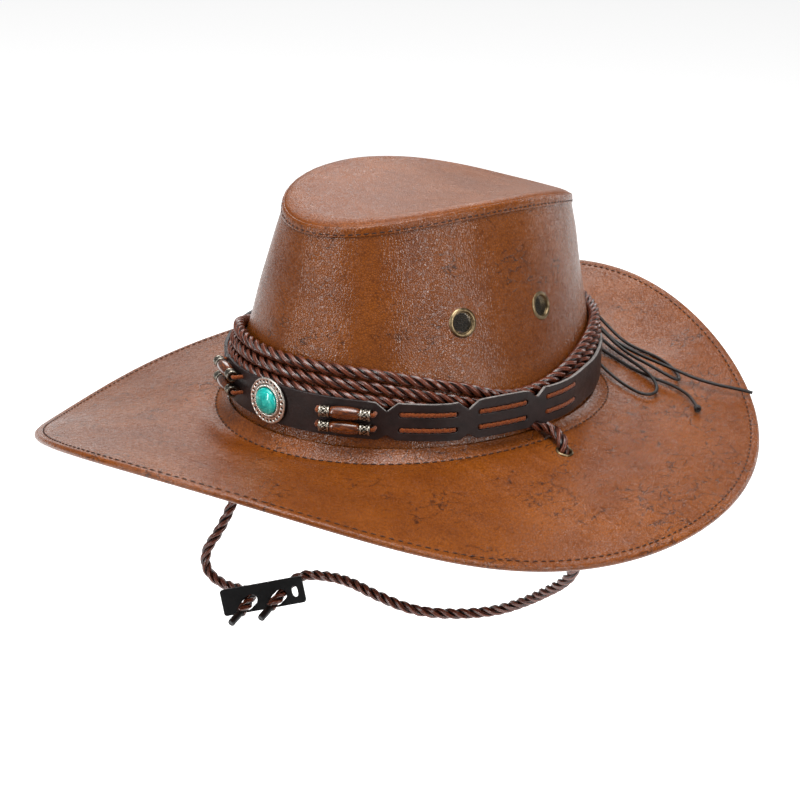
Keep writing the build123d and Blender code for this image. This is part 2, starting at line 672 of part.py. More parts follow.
def cord_part(route, name, d):
    radii = corner_radii(route)
    with BuildLine() as way:
        FilletPolyline(*route, radius=radii)
    with BuildSketch(Plane(origin=way.line @ 0, z_dir=way.line % 0)) as cut:
        Circle(d / 2)
    sweep(sections=cut.sketch.face(), path=way.line)
    report_cord(name, route, radii, d, None)
    length = sum(e.length for e in way.edges())
    print(name, "length", round(length, 1))
    return length


with BuildPart() as chin_cord_left:
    left_len = cord_part(left_route, "chin_cord_left", ROPE_D)
    with Locations(left_route[0]):
        Sphere(ROPE_D / 2)
chin_cord_left.part.label = "chin_cord_left"
with BuildPart() as chin_cord_right:
    right_len = cord_part(right_route, "chin_cord_right", ROPE_D)
    with Locations(right_route[0]):
        Sphere(ROPE_D / 2)
chin_cord_right.part.label = "chin_cord_right"


def tip(origin):
    with BuildSketch(Plane(origin=origin, z_dir=SLIDE)) as cut:
        Circle(TIP_R)
    extrude(cut.sketch.face(), amount=TIP_LEN)


with BuildPart() as cord_tip_left:
    tip(Vector(*left_route[-1]))
    chamfer(cord_tip_left.faces().sort_by(Axis(T_O, SLIDE))[-1].edges(), 0.5)
cord_tip_left.part.label = "cord_tip_left"
with BuildPart() as cord_tip_right:
    tip(Vector(*right_route[-1]))
    chamfer(cord_tip_right.faces().sort_by(Axis(T_O, SLIDE))[-1].edges(), 0.5)
cord_tip_right.part.label = "cord_tip_right"

with BuildPart() as chin_toggle:
    with BuildSketch(Plane(origin=T_O - T_N * (TOGGLE_T / 2), x_dir=T_U, z_dir=T_N)) as bar:
        RectangleRounded(TOGGLE_L, TOGGLE_H, 1.2)
        with Locations((-8.2, -2.0), (8.7, -2.2)):
            SlotOverall(11.0, 7.0, rotation=36.0, mode=Mode.SUBTRACT)
        with Locations((18.2, -0.6)):
            Rectangle(3.4, 6.4, mode=Mode.SUBTRACT)
    extrude(amount=TOGGLE_T)
chin_toggle.part.label = "chin_toggle"


# ------------------------------------------------------------------ tie cord at the back of the band
def lie(x, y, z):
    """Keep a tie-cord point clear of the brim."""
    return (x, y, round(max(z, brim_top(x, y) + TIE_D / 2 + 0.45), 2))


KNOT = Vector(2.0, 114.4, 22.0)
with BuildPart() as tie_knot:
    with BuildSketch(Plane(origin=KNOT, x_dir=(1, 0, 0), z_dir=(0, 0, 1))):
        with BuildLine():
            Line((0, -2.6), (0, 2.6))
            Spline((0, 2.6), (2.6, 2.2), (3.6, 0.6), (3.5, -1.0), (2.4, -2.3), (0, -2.6))
        make_face()
    revolve(axis=Axis(KNOT, (0, 1, 0)))
tie_knot.part.label = "tie_knot"

with BuildPart() as tie_lacing:
    h1, h2 = band_frame(174.0, 22.0), band_frame(-174.0, 22.0)
    a0 = h1.origin + h1.z_dir * -3.2
    a1 = h1.origin + h1.z_dir * 1.6
    b1 = h2.origin + h2.z_dir * 1.6
    b0 = h2.origin + h2.z_dir * -3.2
    with BuildLine() as run:
        FilletPolyline(a0, a1, KNOT + Vector(1.5, 0.2, -0.8), radius=1.5)
    with BuildSketch(Plane(origin=run.line @ 0, z_dir=run.line % 0)):
        Circle(TIE_D / 2)
    sweep()
    with BuildLine() as run:
        FilletPolyline(b0, b1, KNOT + Vector(-2.0, 0.2, -0.8), radius=1.5)
    with BuildSketch(Plane(origin=run.line @ 0, z_dir=run.line % 0)):
        Circle(TIE_D / 2)
    sweep()
tie_lacing.part.label = "tie_lacing"

long_route = [(4.9, 117.6, 23.2), (12.5, 121.9, 19.4), (23.0, 124.8, 12.2), (34.0, 121.8, 8.2), (47.0, 117.4, 7.4), (62.0, 113.8, 7.0), (74.0, 113.2, 6.2),
              (84.5, 114.6, 4.6), (95.7, 117.9, 1.8), (106.5, 123.6, -0.4), (114.5, 130.0, -1.8), (121.0, 135.2, -3.6)]
short_route = [(5.2, 115.8, 19.4), (12.0, 118.4, 12.3), (22.0, 118.4, 5.6), (34.0, 115.2, 2.6), (47.0, 111.6, 1.6), (61.5, 107.2, 0.8), (76.0, 105.6, 0.0),
               (87.0, 107.4, -1.2), (96.8, 107.0, -2.7), (105.0, 103.8, -4.2), (111.0, 99.2, -5.4)]
loop_a_route = [(5.0, 114.2, 17.8), (12.0, 113.6, 9.5), (25.0, 109.5, 2.8), (43.5, 101.2, 0.4), (55.0, 94.6, 0.0), (66.0, 89.0, -0.2), (77.0, 85.0, -0.6), (85.0, 84.2, -1.4),
                (89.4, 88.0, -1.8), (88.4, 94.2, -1.4), (83.6, 99.6, -0.2), (76.0, 103.6, 2.2), (66.0, 107.6, 3.2), (55.0, 111.4, 3.8), (43.0, 115.0, 4.8), (30.0, 118.2, 7.8),
                (15.0, 119.2, 14.4), (5.2, 116.9, 21.0)]
loop_b_route = [(4.4, 117.6, 25.4), (15.0, 125.4, 21.2), (26.5, 128.6, 11.6), (38.5, 127.4, 6.2), (50.0, 126.6, 4.6), (61.0, 126.6, 3.8), (71.0, 124.8, 2.6), (79.5, 121.0, 1.4),
                (86.0, 116.6, 0.6), (88.9, 112.6, 0.4), (87.4, 109.6, 1.6), (80.5, 108.4, 3.6), (70.0, 108.8, 5.6), (58.0, 110.8, 6.4), (45.5, 114.4, 8.0), (31.0, 119.4, 11.4),
                (16.0, 120.2, 17.4), (5.4, 114.6, 22.6)]
TIES = {"tie_cord_long": long_route, "tie_cord_short": short_route, "tie_loop_inner": loop_a_route, "tie_loop_outer": loop_b_route}
for _name, _route in TIES.items():
    _route[:] = [_route[0]] + [lie(*p) if math.hypot(p[0], p[1]) < 186 else p for p in _route[1:]]
    print(_name, "route", _route)

with BuildPart() as tie_cord_long:
    cord_part(long_route, "tie_cord_long", TIE_D)
tie_cord_long.part.label = "tie_cord_long"
with BuildPart() as tie_cord_short:
    cord_part(short_route, "tie_cord_short", TIE_D)
tie_cord_short.part.label = "tie_cord_short"
with BuildPart() as tie_loop_inner:
    cord_part(loop_a_route, "tie_loop_inner", TIE_D)
tie_loop_inner.part.label = "tie_loop_inner"
with BuildPart() as tie_loop_outer:
    cord_part(loop_b_route, "tie_loop_outer", TIE_D)
tie_loop_outer.part.label = "tie_loop_outer"

with BuildPart() as tie_end_knot:
    e = Vector(*short_route[-1])
    d = (Vector(*short_route[-1]) - Vector(*short_route[-2])).normalized()
    with Locations(e + d * 1.9):
        Sphere(2.0)
tie_end_knot.part.label = "tie_end_knot"

# ------------------------------------------------------------------ export
for built in (crown_side, crown_tip, tip_welt, crown_side_lining, crown_tip_lining, sweatband, brim_upper, brim_stiffener, brim_lower,
              brim_edge_wire, vent_eyelets, vent_washers, vent_screens, chin_eyelets, chin_eyelet_washers, hat_band, upper_lace,
              lower_lace, bead_laces, bead_left_front_upper, bead_left_front_lower, bead_right_front_upper, bead_right_front_lower,
              spacers_left_front_upper, spacers_left_front_lower, spacers_right_front_upper, spacers_right_front_lower, concho_plate,
              concho_stone, concho_screw, rope_wraps, chin_cord_left, chin_cord_right, cord_tip_left, cord_tip_right, chin_toggle,
              tie_knot, tie_lacing, tie_cord_long, tie_cord_short, tie_loop_inner, tie_loop_outer, tie_end_knot):
    export_step(built.part, "parts/" + built.part.label + ".step")
print("pivot", vt(PIVOT[1]), "eyelet", vt(EYE_P[1].origin), vt(EYE_P[1].z_dir), vt(EYE_P[-1].origin))
print("rope_route", [tuple(round(float(c), 2) for c in p) for p in rope_route])
print("left_route", left_route)
print("right_route", right_route)
print("toggle U", vt(T_U), "W", vt(T_W), "holes", vt(HOLE_1), vt(HOLE_2))
for _n, _s in STRANDS.items():
    _pl = strand_plane(_s)
    print(_n, "axis", vt(_pl.origin), tuple(round(v, 4) for v in (_pl.z_dir.X, _pl.z_dir.Y, _pl.z_dir.Z)))
print("concho", vt(CONCHO.origin), vt(CONCHO.z_dir))
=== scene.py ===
import bpy, bmesh, math, random
import numpy as np
from mathutils import Vector, Matrix, noise


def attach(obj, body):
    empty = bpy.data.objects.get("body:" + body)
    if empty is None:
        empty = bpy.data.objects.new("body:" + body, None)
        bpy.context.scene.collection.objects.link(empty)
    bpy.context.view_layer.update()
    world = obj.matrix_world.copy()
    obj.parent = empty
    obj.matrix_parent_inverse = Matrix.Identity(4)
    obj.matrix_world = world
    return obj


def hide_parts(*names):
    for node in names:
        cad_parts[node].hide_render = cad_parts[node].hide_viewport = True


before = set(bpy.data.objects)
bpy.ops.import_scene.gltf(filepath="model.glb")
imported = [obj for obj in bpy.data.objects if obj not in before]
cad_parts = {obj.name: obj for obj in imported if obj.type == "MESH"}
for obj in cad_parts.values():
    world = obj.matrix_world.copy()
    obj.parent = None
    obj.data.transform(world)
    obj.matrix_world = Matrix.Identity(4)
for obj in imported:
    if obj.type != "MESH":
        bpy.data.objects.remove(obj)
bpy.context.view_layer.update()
MM = 0.001
TAU = 2 * math.pi

# ------------------------------------------------------------------ camera first
AZ, EL, ROLL = math.radians(43.065), math.radians(20.324), math.radians(1.734)
DIST, TX, TZ = 1175.14, -7.577, -12.99
right = Vector((math.cos(AZ), math.sin(AZ), 0))
back = Vector((math.sin(AZ) * math.cos(EL), -math.cos(AZ) * math.cos(EL), math.sin(EL)))
up = back.cross(right)
cx = right * math.cos(ROLL) + up * math.sin(ROLL)
cy = -right * math.sin(ROLL) + up * math.cos(ROLL)
eye = back * DIST + right * TX + up * TZ + Vector((0, 0, 6))
cam_data = bpy.data.cameras.new("camera")
cam_data.sensor_width = 36.0
cam_data.lens = 2231.22 / 800 * 36.0
cam_data.clip_start, cam_data.clip_end = 0.05, 50
cam = bpy.data.objects.new("camera", cam_data)
bpy.context.scene.collection.objects.link(cam)
cam.matrix_world = Matrix(((cx.x, cy.x, back.x, eye.x * MM), (cx.y, cy.y, back.y, eye.y * MM), (cx.z, cy.z, back.z, eye.z * MM), (0, 0, 0, 1)))
bpy.context.scene.camera = cam


# ------------------------------------------------------------------ shape of the hat, in millimetres
def wave(cs, sn, t):
    return sum(v * math.cos(k * t) for k, v in enumerate(cs)) + sum(v * math.sin((k + 1) * t) for k, v in enumerate(sn))


EDGE_R = ([187.64, 8.28, 6.23, 3.89, 0.6, 1.86], [-1.25, 0.2, -3.26, -0.41])
EDGE_Z = ([-7.57, -7.28, 21.92, 1.23, 4.79, -0.27], [-0.29, 4.56, 0.49, 0.96])
A0, B0, AT, BT, SHIFT, EGG = 103.4, 86.3, 90.5, 55.3, 9.4, 0.05
LIP, RING_OFF, BRIM_T = 1.8, 8.55, 3.6
ROPE_PITCH = 6.0
ROPE_D, BAND_T = 5.9, 1.8


def low_z(t):
    return 7.99 + 0.41 * math.cos(t) + 0.47 * math.cos(2 * t)


def seam_z(y):
    c = (SHIFT - y) / AT
    return 111.01 + 6.49 * c - 13.52 * c * c - 0.07 * (4 * c ** 3 - 3 * c)


def normal2(t):
    nx, ny = A0 * math.sin(t), -B0 * math.cos(t)
    d = math.hypot(nx, ny)
    return nx / d, ny / d


def crown_pt(t, z, off=0.0):
    zb = low_z(t)
    zt = 104.25 + 6.49 * math.cos(t) - 6.76 * math.cos(2 * t) - 0.07 * math.cos(3 * t)
    k = (z - zb) / (zt - zb)
    x0, y0 = B0 * math.sin(t), -A0 * math.cos(t)
    x1, y1 = BT * math.sin(t) * (1 + EGG * math.cos(t)), -AT * math.cos(t) + SHIFT
    nx, ny = normal2(t)
    return (x0 + (x1 - x0) * k + nx * off, y0 + (y1 - y0) * k + ny * off)


def seam_at(t, off=0.0):
    """Seam point on the crown wall at parameter t."""
    z = 104.0
    for _ in range(12):
        x, y = crown_pt(t, z, off)
        z = seam_z(y)
    return (x, y, z)


def ring_pt(t, off):
    nx, ny = normal2(t)
    return (B0 * math.sin(t) + nx * off, -A0 * math.cos(t) + ny * off)


def polar_r(fn, phi):
    lo, hi = phi - 0.6, phi + 0.6
    for _ in range(40):
        mid = (lo + hi) / 2
        x, y = fn(mid)
        a = math.atan2(x, -y)
        a += TAU * round((mid - a) / TAU)
        if a < phi:
            lo = mid
        else:
            hi = mid
    x, y = fn((lo + hi) / 2)
    return math.hypot(x, y)


def spline_z(pts):
    """Natural cubic spline z(r) through the profile's points."""
    r = np.array([p[0] for p in pts]); z = np.array([p[1] for p in pts]); n = len(r)
    h = np.diff(r)
    M = np.zeros((n, n)); b = np.zeros(n)
    M[0, 0] = M[-1, -1] = 1
    for i in range(1, n - 1):
        M[i, i - 1], M[i, i], M[i, i + 1] = h[i - 1], 2 * (h[i - 1] + h[i]), h[i]
        b[i] = 6 * ((z[i + 1] - z[i]) / h[i] - (z[i] - z[i - 1]) / h[i - 1])
    m = np.linalg.solve(M, b)

    def f(q):
        q = np.atleast_1d(np.asarray(q, float))
        i = np.clip(np.searchsorted(r, q) - 1, 0, n - 2)
        hi = h[i]; a = (r[i + 1] - q) / hi; c = (q - r[i]) / hi
        return a * z[i] + c * z[i + 1] + ((a ** 3 - a) * m[i] + (c ** 3 - c) * m[i + 1]) * hi * hi / 6
    return f


def brim_profile(phi):
    re, ze = wave(*EDGE_R, phi), wave(*EDGE_Z, phi)
    r0 = polar_r(lambda t: crown_pt(t, -0.6, 0.2), phi)
    r3 = polar_r(lambda t: ring_pt(t, RING_OFF), phi)
    z3 = -2.03 - 0.1 * math.cos(phi) - 1.33 * math.cos(2 * phi)
    r7, z7 = re - LIP, ze + LIP
    pts = [(r0, 3.2), (r0 + (r3 - r0) * 0.28, z3 + (3.2 - z3) * 0.55), (r0 + (r3 - r0) * 0.62, z3 + (3.2 - z3) * 0.2), (r3, z3)]
    pts += [(r3 + (r7 - r3) * u, z3 + (z7 - z3) * u) for u in (0.12, 0.36, 0.68)] + [(r7, z7)]
    return pts, re, ze, r3


N_PHI = 480
PHIS = [TAU * k / N_PHI for k in range(N_PHI)]
PROFILES = [brim_profile(p) for p in PHIS]
SPLINES = [spline_z(p[0]) for p in PROFILES]


def brim_z(x, y):
    phi = math.atan2(x, -y) % TAU
    k = phi / TAU * N_PHI
    i = int(k) % N_PHI
    f = k - int(k)
    r = math.hypot(x, y)
    return float(SPLINES[i](r)[0] * (1 - f) + SPLINES[(i + 1) % N_PHI](r)[0] * f)


def table(pairs, v):
    if v <= pairs[0][0]:
        return pairs[0][1]
    for (a, p), (b, q) in zip(pairs, pairs[1:]):
        if v <= b:
            f = (v - a) / (b - a)
            f = f * f * (3 - 2 * f)
            return p + (q - p) * f
    return pairs[-1][1]


def band_off(t):
    d = math.degrees(math.atan2(math.sin(t), math.cos(t)))
    return table([(-72, 6.2), (-45, 2.8), (-30, 1.6), (28, 1.6), (41, 2.8), (58, 6.2), (92, 6.2), (112, 3.0), (128, 2.0), (146, 2.2), (168, 6.2)], d)


def band_low(y):
    c = max(-1.06, min(1.06, -y / 109.0))
    return 7.7 + 0.9 * max(c, 0) ** 2 + 3.6 * max(-c - 0.35, 0) ** 2 * 2.2


def band_high(y):
    c = max(-1.06, min(1.06, -y / 109.0))
    front = -2.06 * c + 5.0 * c * c if c > 0 else -0.6 * c + 0.4 * c * c
    return 25.9 + front + 2.2 * math.exp(-((c - 0.3) / 0.25) ** 2)


def eyelet_frame(s):
    x, y = s * 107.3, -5.5
    e = 0.5
    gx = (brim_z(x + e, y) - brim_z(x - e, y)) / (2 * e)
    gy = (brim_z(x, y + e) - brim_z(x, y - e)) / (2 * e)
    n = Vector((-gx, -gy, 1)).normalized()
    return Vector((x, y, brim_z(x, y))), n


EYES = {s: eyelet_frame(s) for s in (1, -1)}


def vent_frame(deg, z):
    t = math.radians(deg)
    p = Vector((*crown_pt(t, z), z))
    u = Vector((*crown_pt(t + 1e-3, z), z)) - p
    v = Vector((*crown_pt(t, z + 0.1), z + 0.1)) - p
    n = u.cross(v).normalized()
    if n.dot(Vector((p.x, p.y, 0))) < 0:
        n = -n
    return p, n


VENTS = [vent_frame(*a) for a in ((64.5, 59.6), (96.0, 58.8), (-64.5, 59.6), (-96.0, 58.8))]


# ------------------------------------------------------------------ materials
def new_mat(name):
    m = bpy.data.materials.new(name)
    m.use_nodes = True
    nt = m.node_tree
    bsdf = next(n for n in nt.nodes if n.type == "BSDF_PRINCIPLED")
    return m, nt, bsdf


def srgb(r, g, b):
    return tuple(((v / 255) / 12.92 if v / 255 <= 0.04045 else ((v / 255 + 0.055) / 1.055) ** 2.4) for v in (r, g, b)) + (1.0,)


class Net:
    """Small helper for wiring shader nodes."""

    def __init__(self, nt):
        self.nt = nt

    def node(self, kind, **kw):
        n = self.nt.nodes.new(kind)
        for k, v in kw.items():
            if k.startswith("_"):
                setattr(n, k[1:], v)
        return n

    def coords(self, scale=(1, 1, 1), attr=None):
        if attr:
            src = self.node("ShaderNodeAttribute", _attribute_name=attr)
            out = src.outputs["Vector"]
        else:
            out = self.node("ShaderNodeTexCoord").outputs["Object"]
        m = self.node("ShaderNodeMapping")
        m.inputs["Scale"].default_value = scale
        self.nt.links.new(out, m.inputs["Vector"])
        return m.outputs["Vector"]

    def noise(self, vec, scale, detail=4.0, rough=0.55, dist=0.0):
        n = self.node("ShaderNodeTexNoise")
        n.inputs["Scale"].default_value = scale
        n.inputs["Detail"].default_value = detail
        n.inputs["Roughness"].default_value = rough
        n.inputs["Distortion"].default_value = dist
        self.nt.links.new(vec, n.inputs["Vector"])
        return n.outputs["Fac"]

    def voronoi(self, vec, scale, feature="F1", rand=1.0):
        n = self.node("ShaderNodeTexVoronoi", _feature=feature)
        n.inputs["Scale"].default_value = scale
        n.inputs["Randomness"].default_value = rand
        self.nt.links.new(vec, n.inputs["Vector"])
        return n.outputs["Distance"]

    def ramp(self, fac, stops):
        n = self.node("ShaderNodeValToRGB")
        el = n.color_ramp.elements
        while len(el) < len(stops):
            el.new(0.5)
        for e, (p, c) in zip(el, stops):
            e.position = p
            e.color = c if len(c) == 4 else (*c, 1)
        self.nt.links.new(fac, n.inputs["Fac"])
        return n.outputs["Color"]

    def grey(self, fac, a, b, lo=0.0, hi=1.0):
        n = self.node("ShaderNodeMapRange")
        n.inputs["From Min"].default_value = a
        n.inputs["From Max"].default_value = b
        n.inputs["To Min"].default_value = lo
        n.inputs["To Max"].default_value = hi
        self.nt.links.new(fac, n.inputs["Value"])
        return n.outputs["Result"]

    def math(self, op, a, b):
        n = self.node("ShaderNodeMath", _operation=op)
        for i, v in enumerate((a, b)):
            if isinstance(v, (int, float)):
                n.inputs[i].default_value = v
            else:
                self.nt.links.new(v, n.inputs[i])
        return n.outputs[0]

    def mix(self, fac, a, b, blend="MIX"):
        n = self.node("ShaderNodeMix", _data_type="RGBA", _blend_type=blend)
        for i, v in ((0, fac), (6, a), (7, b)):
            if isinstance(v, (int, float)):
                n.inputs[i].default_value = v
            elif isinstance(v, tuple):
                n.inputs[i].default_value = v if len(v) == 4 else (*v, 1)
            else:
                self.nt.links.new(v, n.inputs[i])
        return n.outputs[2]

    def bump(self, height, dist, strength=1.0, normal=None):
        n = self.node("ShaderNodeBump")
        n.inputs["Strength"].default_value = strength
        n.inputs["Distance"].default_value = dist
        self.nt.links.new(height, n.inputs["Height"])
        if normal is not None:
            self.nt.links.new(normal, n.inputs["Normal"])
        return n.outputs["Normal"]


def tan_leather(name, shade_tint=1.0, worn=1.0, grain=1.0, gloss=0.0, spec=0.5):
    m, nt, b = new_mat(name)
    k = Net(nt)
    v = k.coords()
    big = k.noise(v, 9.0, 3.0, 0.5)
    mid = k.noise(v, 45.0, 5.0, 0.6)

    # every colour of this leather is scaled by the tint; a tint below 1 paints shade into that copy of the leather
    def col(r, g, bl):
        return tuple(c * shade_tint for c in srgb(r, g, bl)[:3])
    base = k.ramp(big, [(0.3, col(130, 66, 13)), (0.7, col(154, 84, 24))])
    base = k.mix(k.grey(mid, 0.35, 0.75, 0.0, 0.5), base, col(92, 40, 9))
    # grain: pebbles about a millimetre across with fine valleys between them; the valleys are painted darker as painted
    # shade
    cell = k.voronoi(v, 820.0, "DISTANCE_TO_EDGE")
    peb = k.grey(cell, 0.0, 0.32, 0.0, 1.0)
    base = k.mix(k.grey(peb, 0.0, 0.5, 0.65, 0.0), base, col(72, 29, 6))
    fleck = k.grey(k.noise(v, 520.0, 4.0, 0.75), 0.55, 0.7, 0.0, 0.55)
    base = k.mix(fleck, base, col(72, 29, 6))
    # scuffs: short dark scratches gathered in patches
    warp = k.node("ShaderNodeVectorMath", _operation="ADD")
    wn = k.node("ShaderNodeTexNoise"); wn.inputs["Scale"].default_value = 55.0; wn.inputs["Detail"].default_value = 3.0
    nt.links.new(v, wn.inputs["Vector"])
    ws = k.node("ShaderNodeVectorMath", _operation="SCALE"); ws.inputs["Scale"].default_value = 0.014
    nt.links.new(wn.outputs["Color"], ws.inputs[0])
    nt.links.new(v, warp.inputs[0]); nt.links.new(ws.outputs[0], warp.inputs[1])
    st = k.node("ShaderNodeMapping"); st.inputs["Scale"].default_value = (1.0, 0.4, 1.7); st.inputs["Rotation"].default_value = (0.4, 0.5, 0.7)
    nt.links.new(warp.outputs[0], st.inputs["Vector"])
    lines = k.voronoi(st.outputs[0], 170.0, "DISTANCE_TO_EDGE")
    thin = k.grey(lines, 0.01, 0.085, 1.0, 0.0)
    patch = k.grey(k.noise(v, 34.0, 4.0, 0.7), 0.51, 0.6, 0.0, 1.0)
    broken = k.grey(k.noise(v, 260.0, 3.0, 0.7), 0.43, 0.53, 0.0, 1.0)
    scuff = k.math("MULTIPLY", k.math("MULTIPLY", thin, patch), broken)
    base = k.mix(k.math("MULTIPLY", scuff, 0.85 * worn), base, col(46, 17, 6))
    nt.links.new(base, b.inputs["Base Color"])
    rough = k.grey(k.noise(v, 300.0, 3.0, 0.6), 0.3, 0.7, 0.2 + gloss, 0.32 + gloss)
    nt.links.new(rough, b.inputs["Roughness"])
    b.inputs["Specular IOR Level"].default_value = spec
    h = k.math("ADD", k.math("MULTIPLY", peb, 0.8), k.math("MULTIPLY", k.noise(v, 420.0, 3.0, 0.6), 0.8))
    h = k.math("SUBTRACT", h, k.math("MULTIPLY", scuff, 0.6))
    nrm = k.bump(h, 0.00013 * grain, 0.9)
    nrm = k.bump(k.noise(v, 90.0, 4.0, 0.6), 0.0008, 0.5, nrm)
    nt.links.new(nrm, b.inputs["Normal"])
    return m


def simple(name, col, col2, scale, rough=(0.4, 0.6), bump=(300.0, 0.0001, 0.5), metal=0.0, spec=0.5, lo=0.35, hi=0.65, attr=None, sheen=0.0, vecscale=(1, 1, 1)):
    m, nt, b = new_mat(name)
    k = Net(nt)
    v = k.coords(vecscale, attr)
    n = k.noise(v, scale, 5.0, 0.6)
    nt.links.new(k.ramp(n, [(lo, col), (hi, col2)]), b.inputs["Base Color"])
    nt.links.new(k.grey(k.noise(v, scale * 2.3, 3.0), 0.3, 0.7, *rough), b.inputs["Roughness"])
    b.inputs["Metallic"].default_value = metal
    b.inputs["Specular IOR Level"].default_value = spec
    if sheen:
        b.inputs["Sheen Weight"].default_value = sheen
        b.inputs["Sheen Roughness"].default_value = 0.4
    if bump:
        nt.links.new(k.bump(k.noise(v, bump[0], 4.0, 0.65), bump[1], bump[2]), b.inputs["Normal"])
    return m


def shade_attr(name, dark, mid, light, rough=0.35, metal=0.0, attr="lift", bump=None, spec=0.5, stops=(0.0, 0.5, 1.0), noise_amt=0.25, nscale=900.0, coat=0.0):
    """Colour follows a per-vertex height attribute, broken up by noise."""
    m, nt, b = new_mat(name)
    k = Net(nt)
    a = k.node("ShaderNodeAttribute", _attribute_name=attr)
    v = k.coords()
    n = k.grey(k.noise(v, nscale, 4.0, 0.65), 0.3, 0.7, -noise_amt, noise_amt)
    f = k.math("ADD", a.outputs["Fac"], n)
    nt.links.new(k.ramp(f, [(stops[0], dark), (stops[1], mid), (stops[2], light)]), b.inputs["Base Color"])
    nt.links.new(k.grey(k.noise(v, nscale * 0.5, 3.0), 0.3, 0.7, rough - 0.07, rough + 0.09), b.inputs["Roughness"])
    b.inputs["Metallic"].default_value = metal
    b.inputs["Specular IOR Level"].default_value = spec
    b.inputs["Coat Weight"].default_value = coat
    b.inputs["Coat Roughness"].default_value = 0.08
    if bump:
        nt.links.new(k.bump(k.noise(v, bump[0], 4.0, 0.65), bump[1], bump[2]), b.inputs["Normal"])
    return m


M = {}
M["leather"] = tan_leather("tan_leather_pebbled")
# crown wall copy of the leather, darkened to 0.88 as painted shade
M["leather_wall"] = tan_leather("tan_leather_wall_painted_shade", 0.88, 1.0)
M["leather_tip"] = tan_leather("tan_leather_tip", 1.0, 0.3, 0.8, 0.06, 0.3)
# brim underside copy of the leather, darkened to 0.8 as painted shade under the brim
M["leather_under"] = tan_leather("tan_leather_under_painted_shade", 0.8, 0.3)
M["leather_cut"] = simple("leather_cut_edge", srgb(92, 52, 28), srgb(120, 72, 42), 300, (0.6, 0.8))
M["stitch"] = simple("thread_dark_brown", srgb(34, 13, 6), srgb(56, 24, 11), 900, (0.5, 0.7), (1800.0, 0.00006, 0.6))
M["black_leather"] = simple("strap_black_leather", srgb(26, 18, 18), srgb(42, 29, 28), 110, (0.36, 0.5), (1100.0, 0.00016, 0.8), spec=0.45)
M["toggle_leather"] = simple("toggle_black_leather", srgb(8, 8, 9), srgb(15, 14, 15), 110, (0.42, 0.55), (900.0, 0.00014, 0.7), spec=0.25)
M["cut_edge"] = simple("strap_cut_edge", srgb(96, 90, 87), srgb(150, 144, 140), 420, (0.6, 0.75), (1400.0, 0.00008, 0.5))
M["suede"] = simple("brown_suede", srgb(96, 42, 16), srgb(150, 76, 34), 1500, (0.85, 0.95), (2600.0, 0.0003, 0.9), spec=0.2, sheen=0.35)
M["lining"] = simple("lining_cloth_dark", srgb(38, 30, 27), srgb(54, 44, 40), 700, (0.8, 0.9), (2200.0, 0.00012, 0.7), spec=0.25, sheen=0.2)
M["sweat"] = simple("sweatband_cloth_black", srgb(24, 22, 22), srgb(38, 35, 34), 900, (0.75, 0.88), (2600.0, 0.00014, 0.8), spec=0.25, sheen=0.25)
M["brass"] = simple("antique_brass", srgb(92, 76, 54), srgb(158, 138, 106), 420, (0.3, 0.48), (900.0, 0.00006, 0.5), metal=1.0)
M["mesh"] = simple("dark_wire", srgb(40, 36, 30), srgb(84, 76, 62), 900, (0.35, 0.5), (1500.0, 0.00004, 0.4), metal=0.8)
# rope colour follows each strand's lift attribute: near black on the strand's inner side and in the gaps between
# strands, lighter on its outer side and yarn ridges; painted shade and painted light from the rope's relief
M["rope"] = shade_attr("rope_brown_viscose_painted_shade", srgb(8, 3, 2), srgb(62, 27, 17), srgb(112, 56, 36), rough=0.27, stops=(0.45, 0.72, 1.0), noise_amt=0.1, nscale=1500.0, spec=0.7, bump=(3000.0, 0.00006, 0.6))
M["waxed"] = simple("waxed_cord_black", srgb(14, 12, 12), srgb(38, 33, 31), 1300, (0.38, 0.55), (2600.0, 0.00012, 0.8))
M["sleeve"] = simple("sleeve_black", srgb(14, 13, 13), srgb(26, 24, 24), 600, (0.35, 0.5), (1100.0, 0.00006, 0.4))
M["silver"] = shade_attr("antique_silver", srgb(22, 19, 16), srgb(196, 190, 180), srgb(250, 248, 242), rough=0.34, metal=1.0, stops=(0.1, 0.45, 0.9), noise_amt=0.12, nscale=500.0)
M["silver_dark"] = shade_attr("antique_silver_spacers", srgb(16, 13, 10), srgb(86, 80, 70), srgb(176, 168, 154), rough=0.3, metal=1.0, stops=(0.15, 0.6, 1.0), noise_amt=0.14, nscale=500.0)
M["wire"] = simple("edge_wire", srgb(150, 150, 150), srgb(180, 180, 180), 300, (0.3, 0.4), None, metal=1.0)
M["felt"] = simple("stiffener_felt", srgb(120, 112, 100), srgb(150, 142, 128), 500, (0.85, 0.95), (1500.0, 0.0002, 0.6))


def turquoise_mat():
    m, nt, b = new_mat("turquoise_marbled")
    k = Net(nt)
    v = k.coords()
    a = k.noise(v, 190.0, 6.0, 0.62, 1.8)
    col = k.ramp(a, [(0.3, srgb(0, 132, 128)), (0.46, srgb(10, 184, 174)), (0.6, srgb(60, 212, 198)), (0.74, srgb(160, 234, 222))])
    vein = k.grey(k.noise(v, 90.0, 5.0, 0.6, 2.4), 0.485, 0.505, 0.0, 1.0)
    vein2 = k.grey(k.noise(v, 90.0, 5.0, 0.6, 2.4), 0.505, 0.525, 1.0, 0.0)
    col = k.mix(k.math("MULTIPLY", k.math("MULTIPLY", vein, vein2), 0.55), col, srgb(18, 84, 84))
    nt.links.new(col, b.inputs["Base Color"])
    b.inputs["Roughness"].default_value = 0.16
    b.inputs["Coat Weight"].default_value = 0.6
    b.inputs["Coat Roughness"].default_value = 0.05
    return m


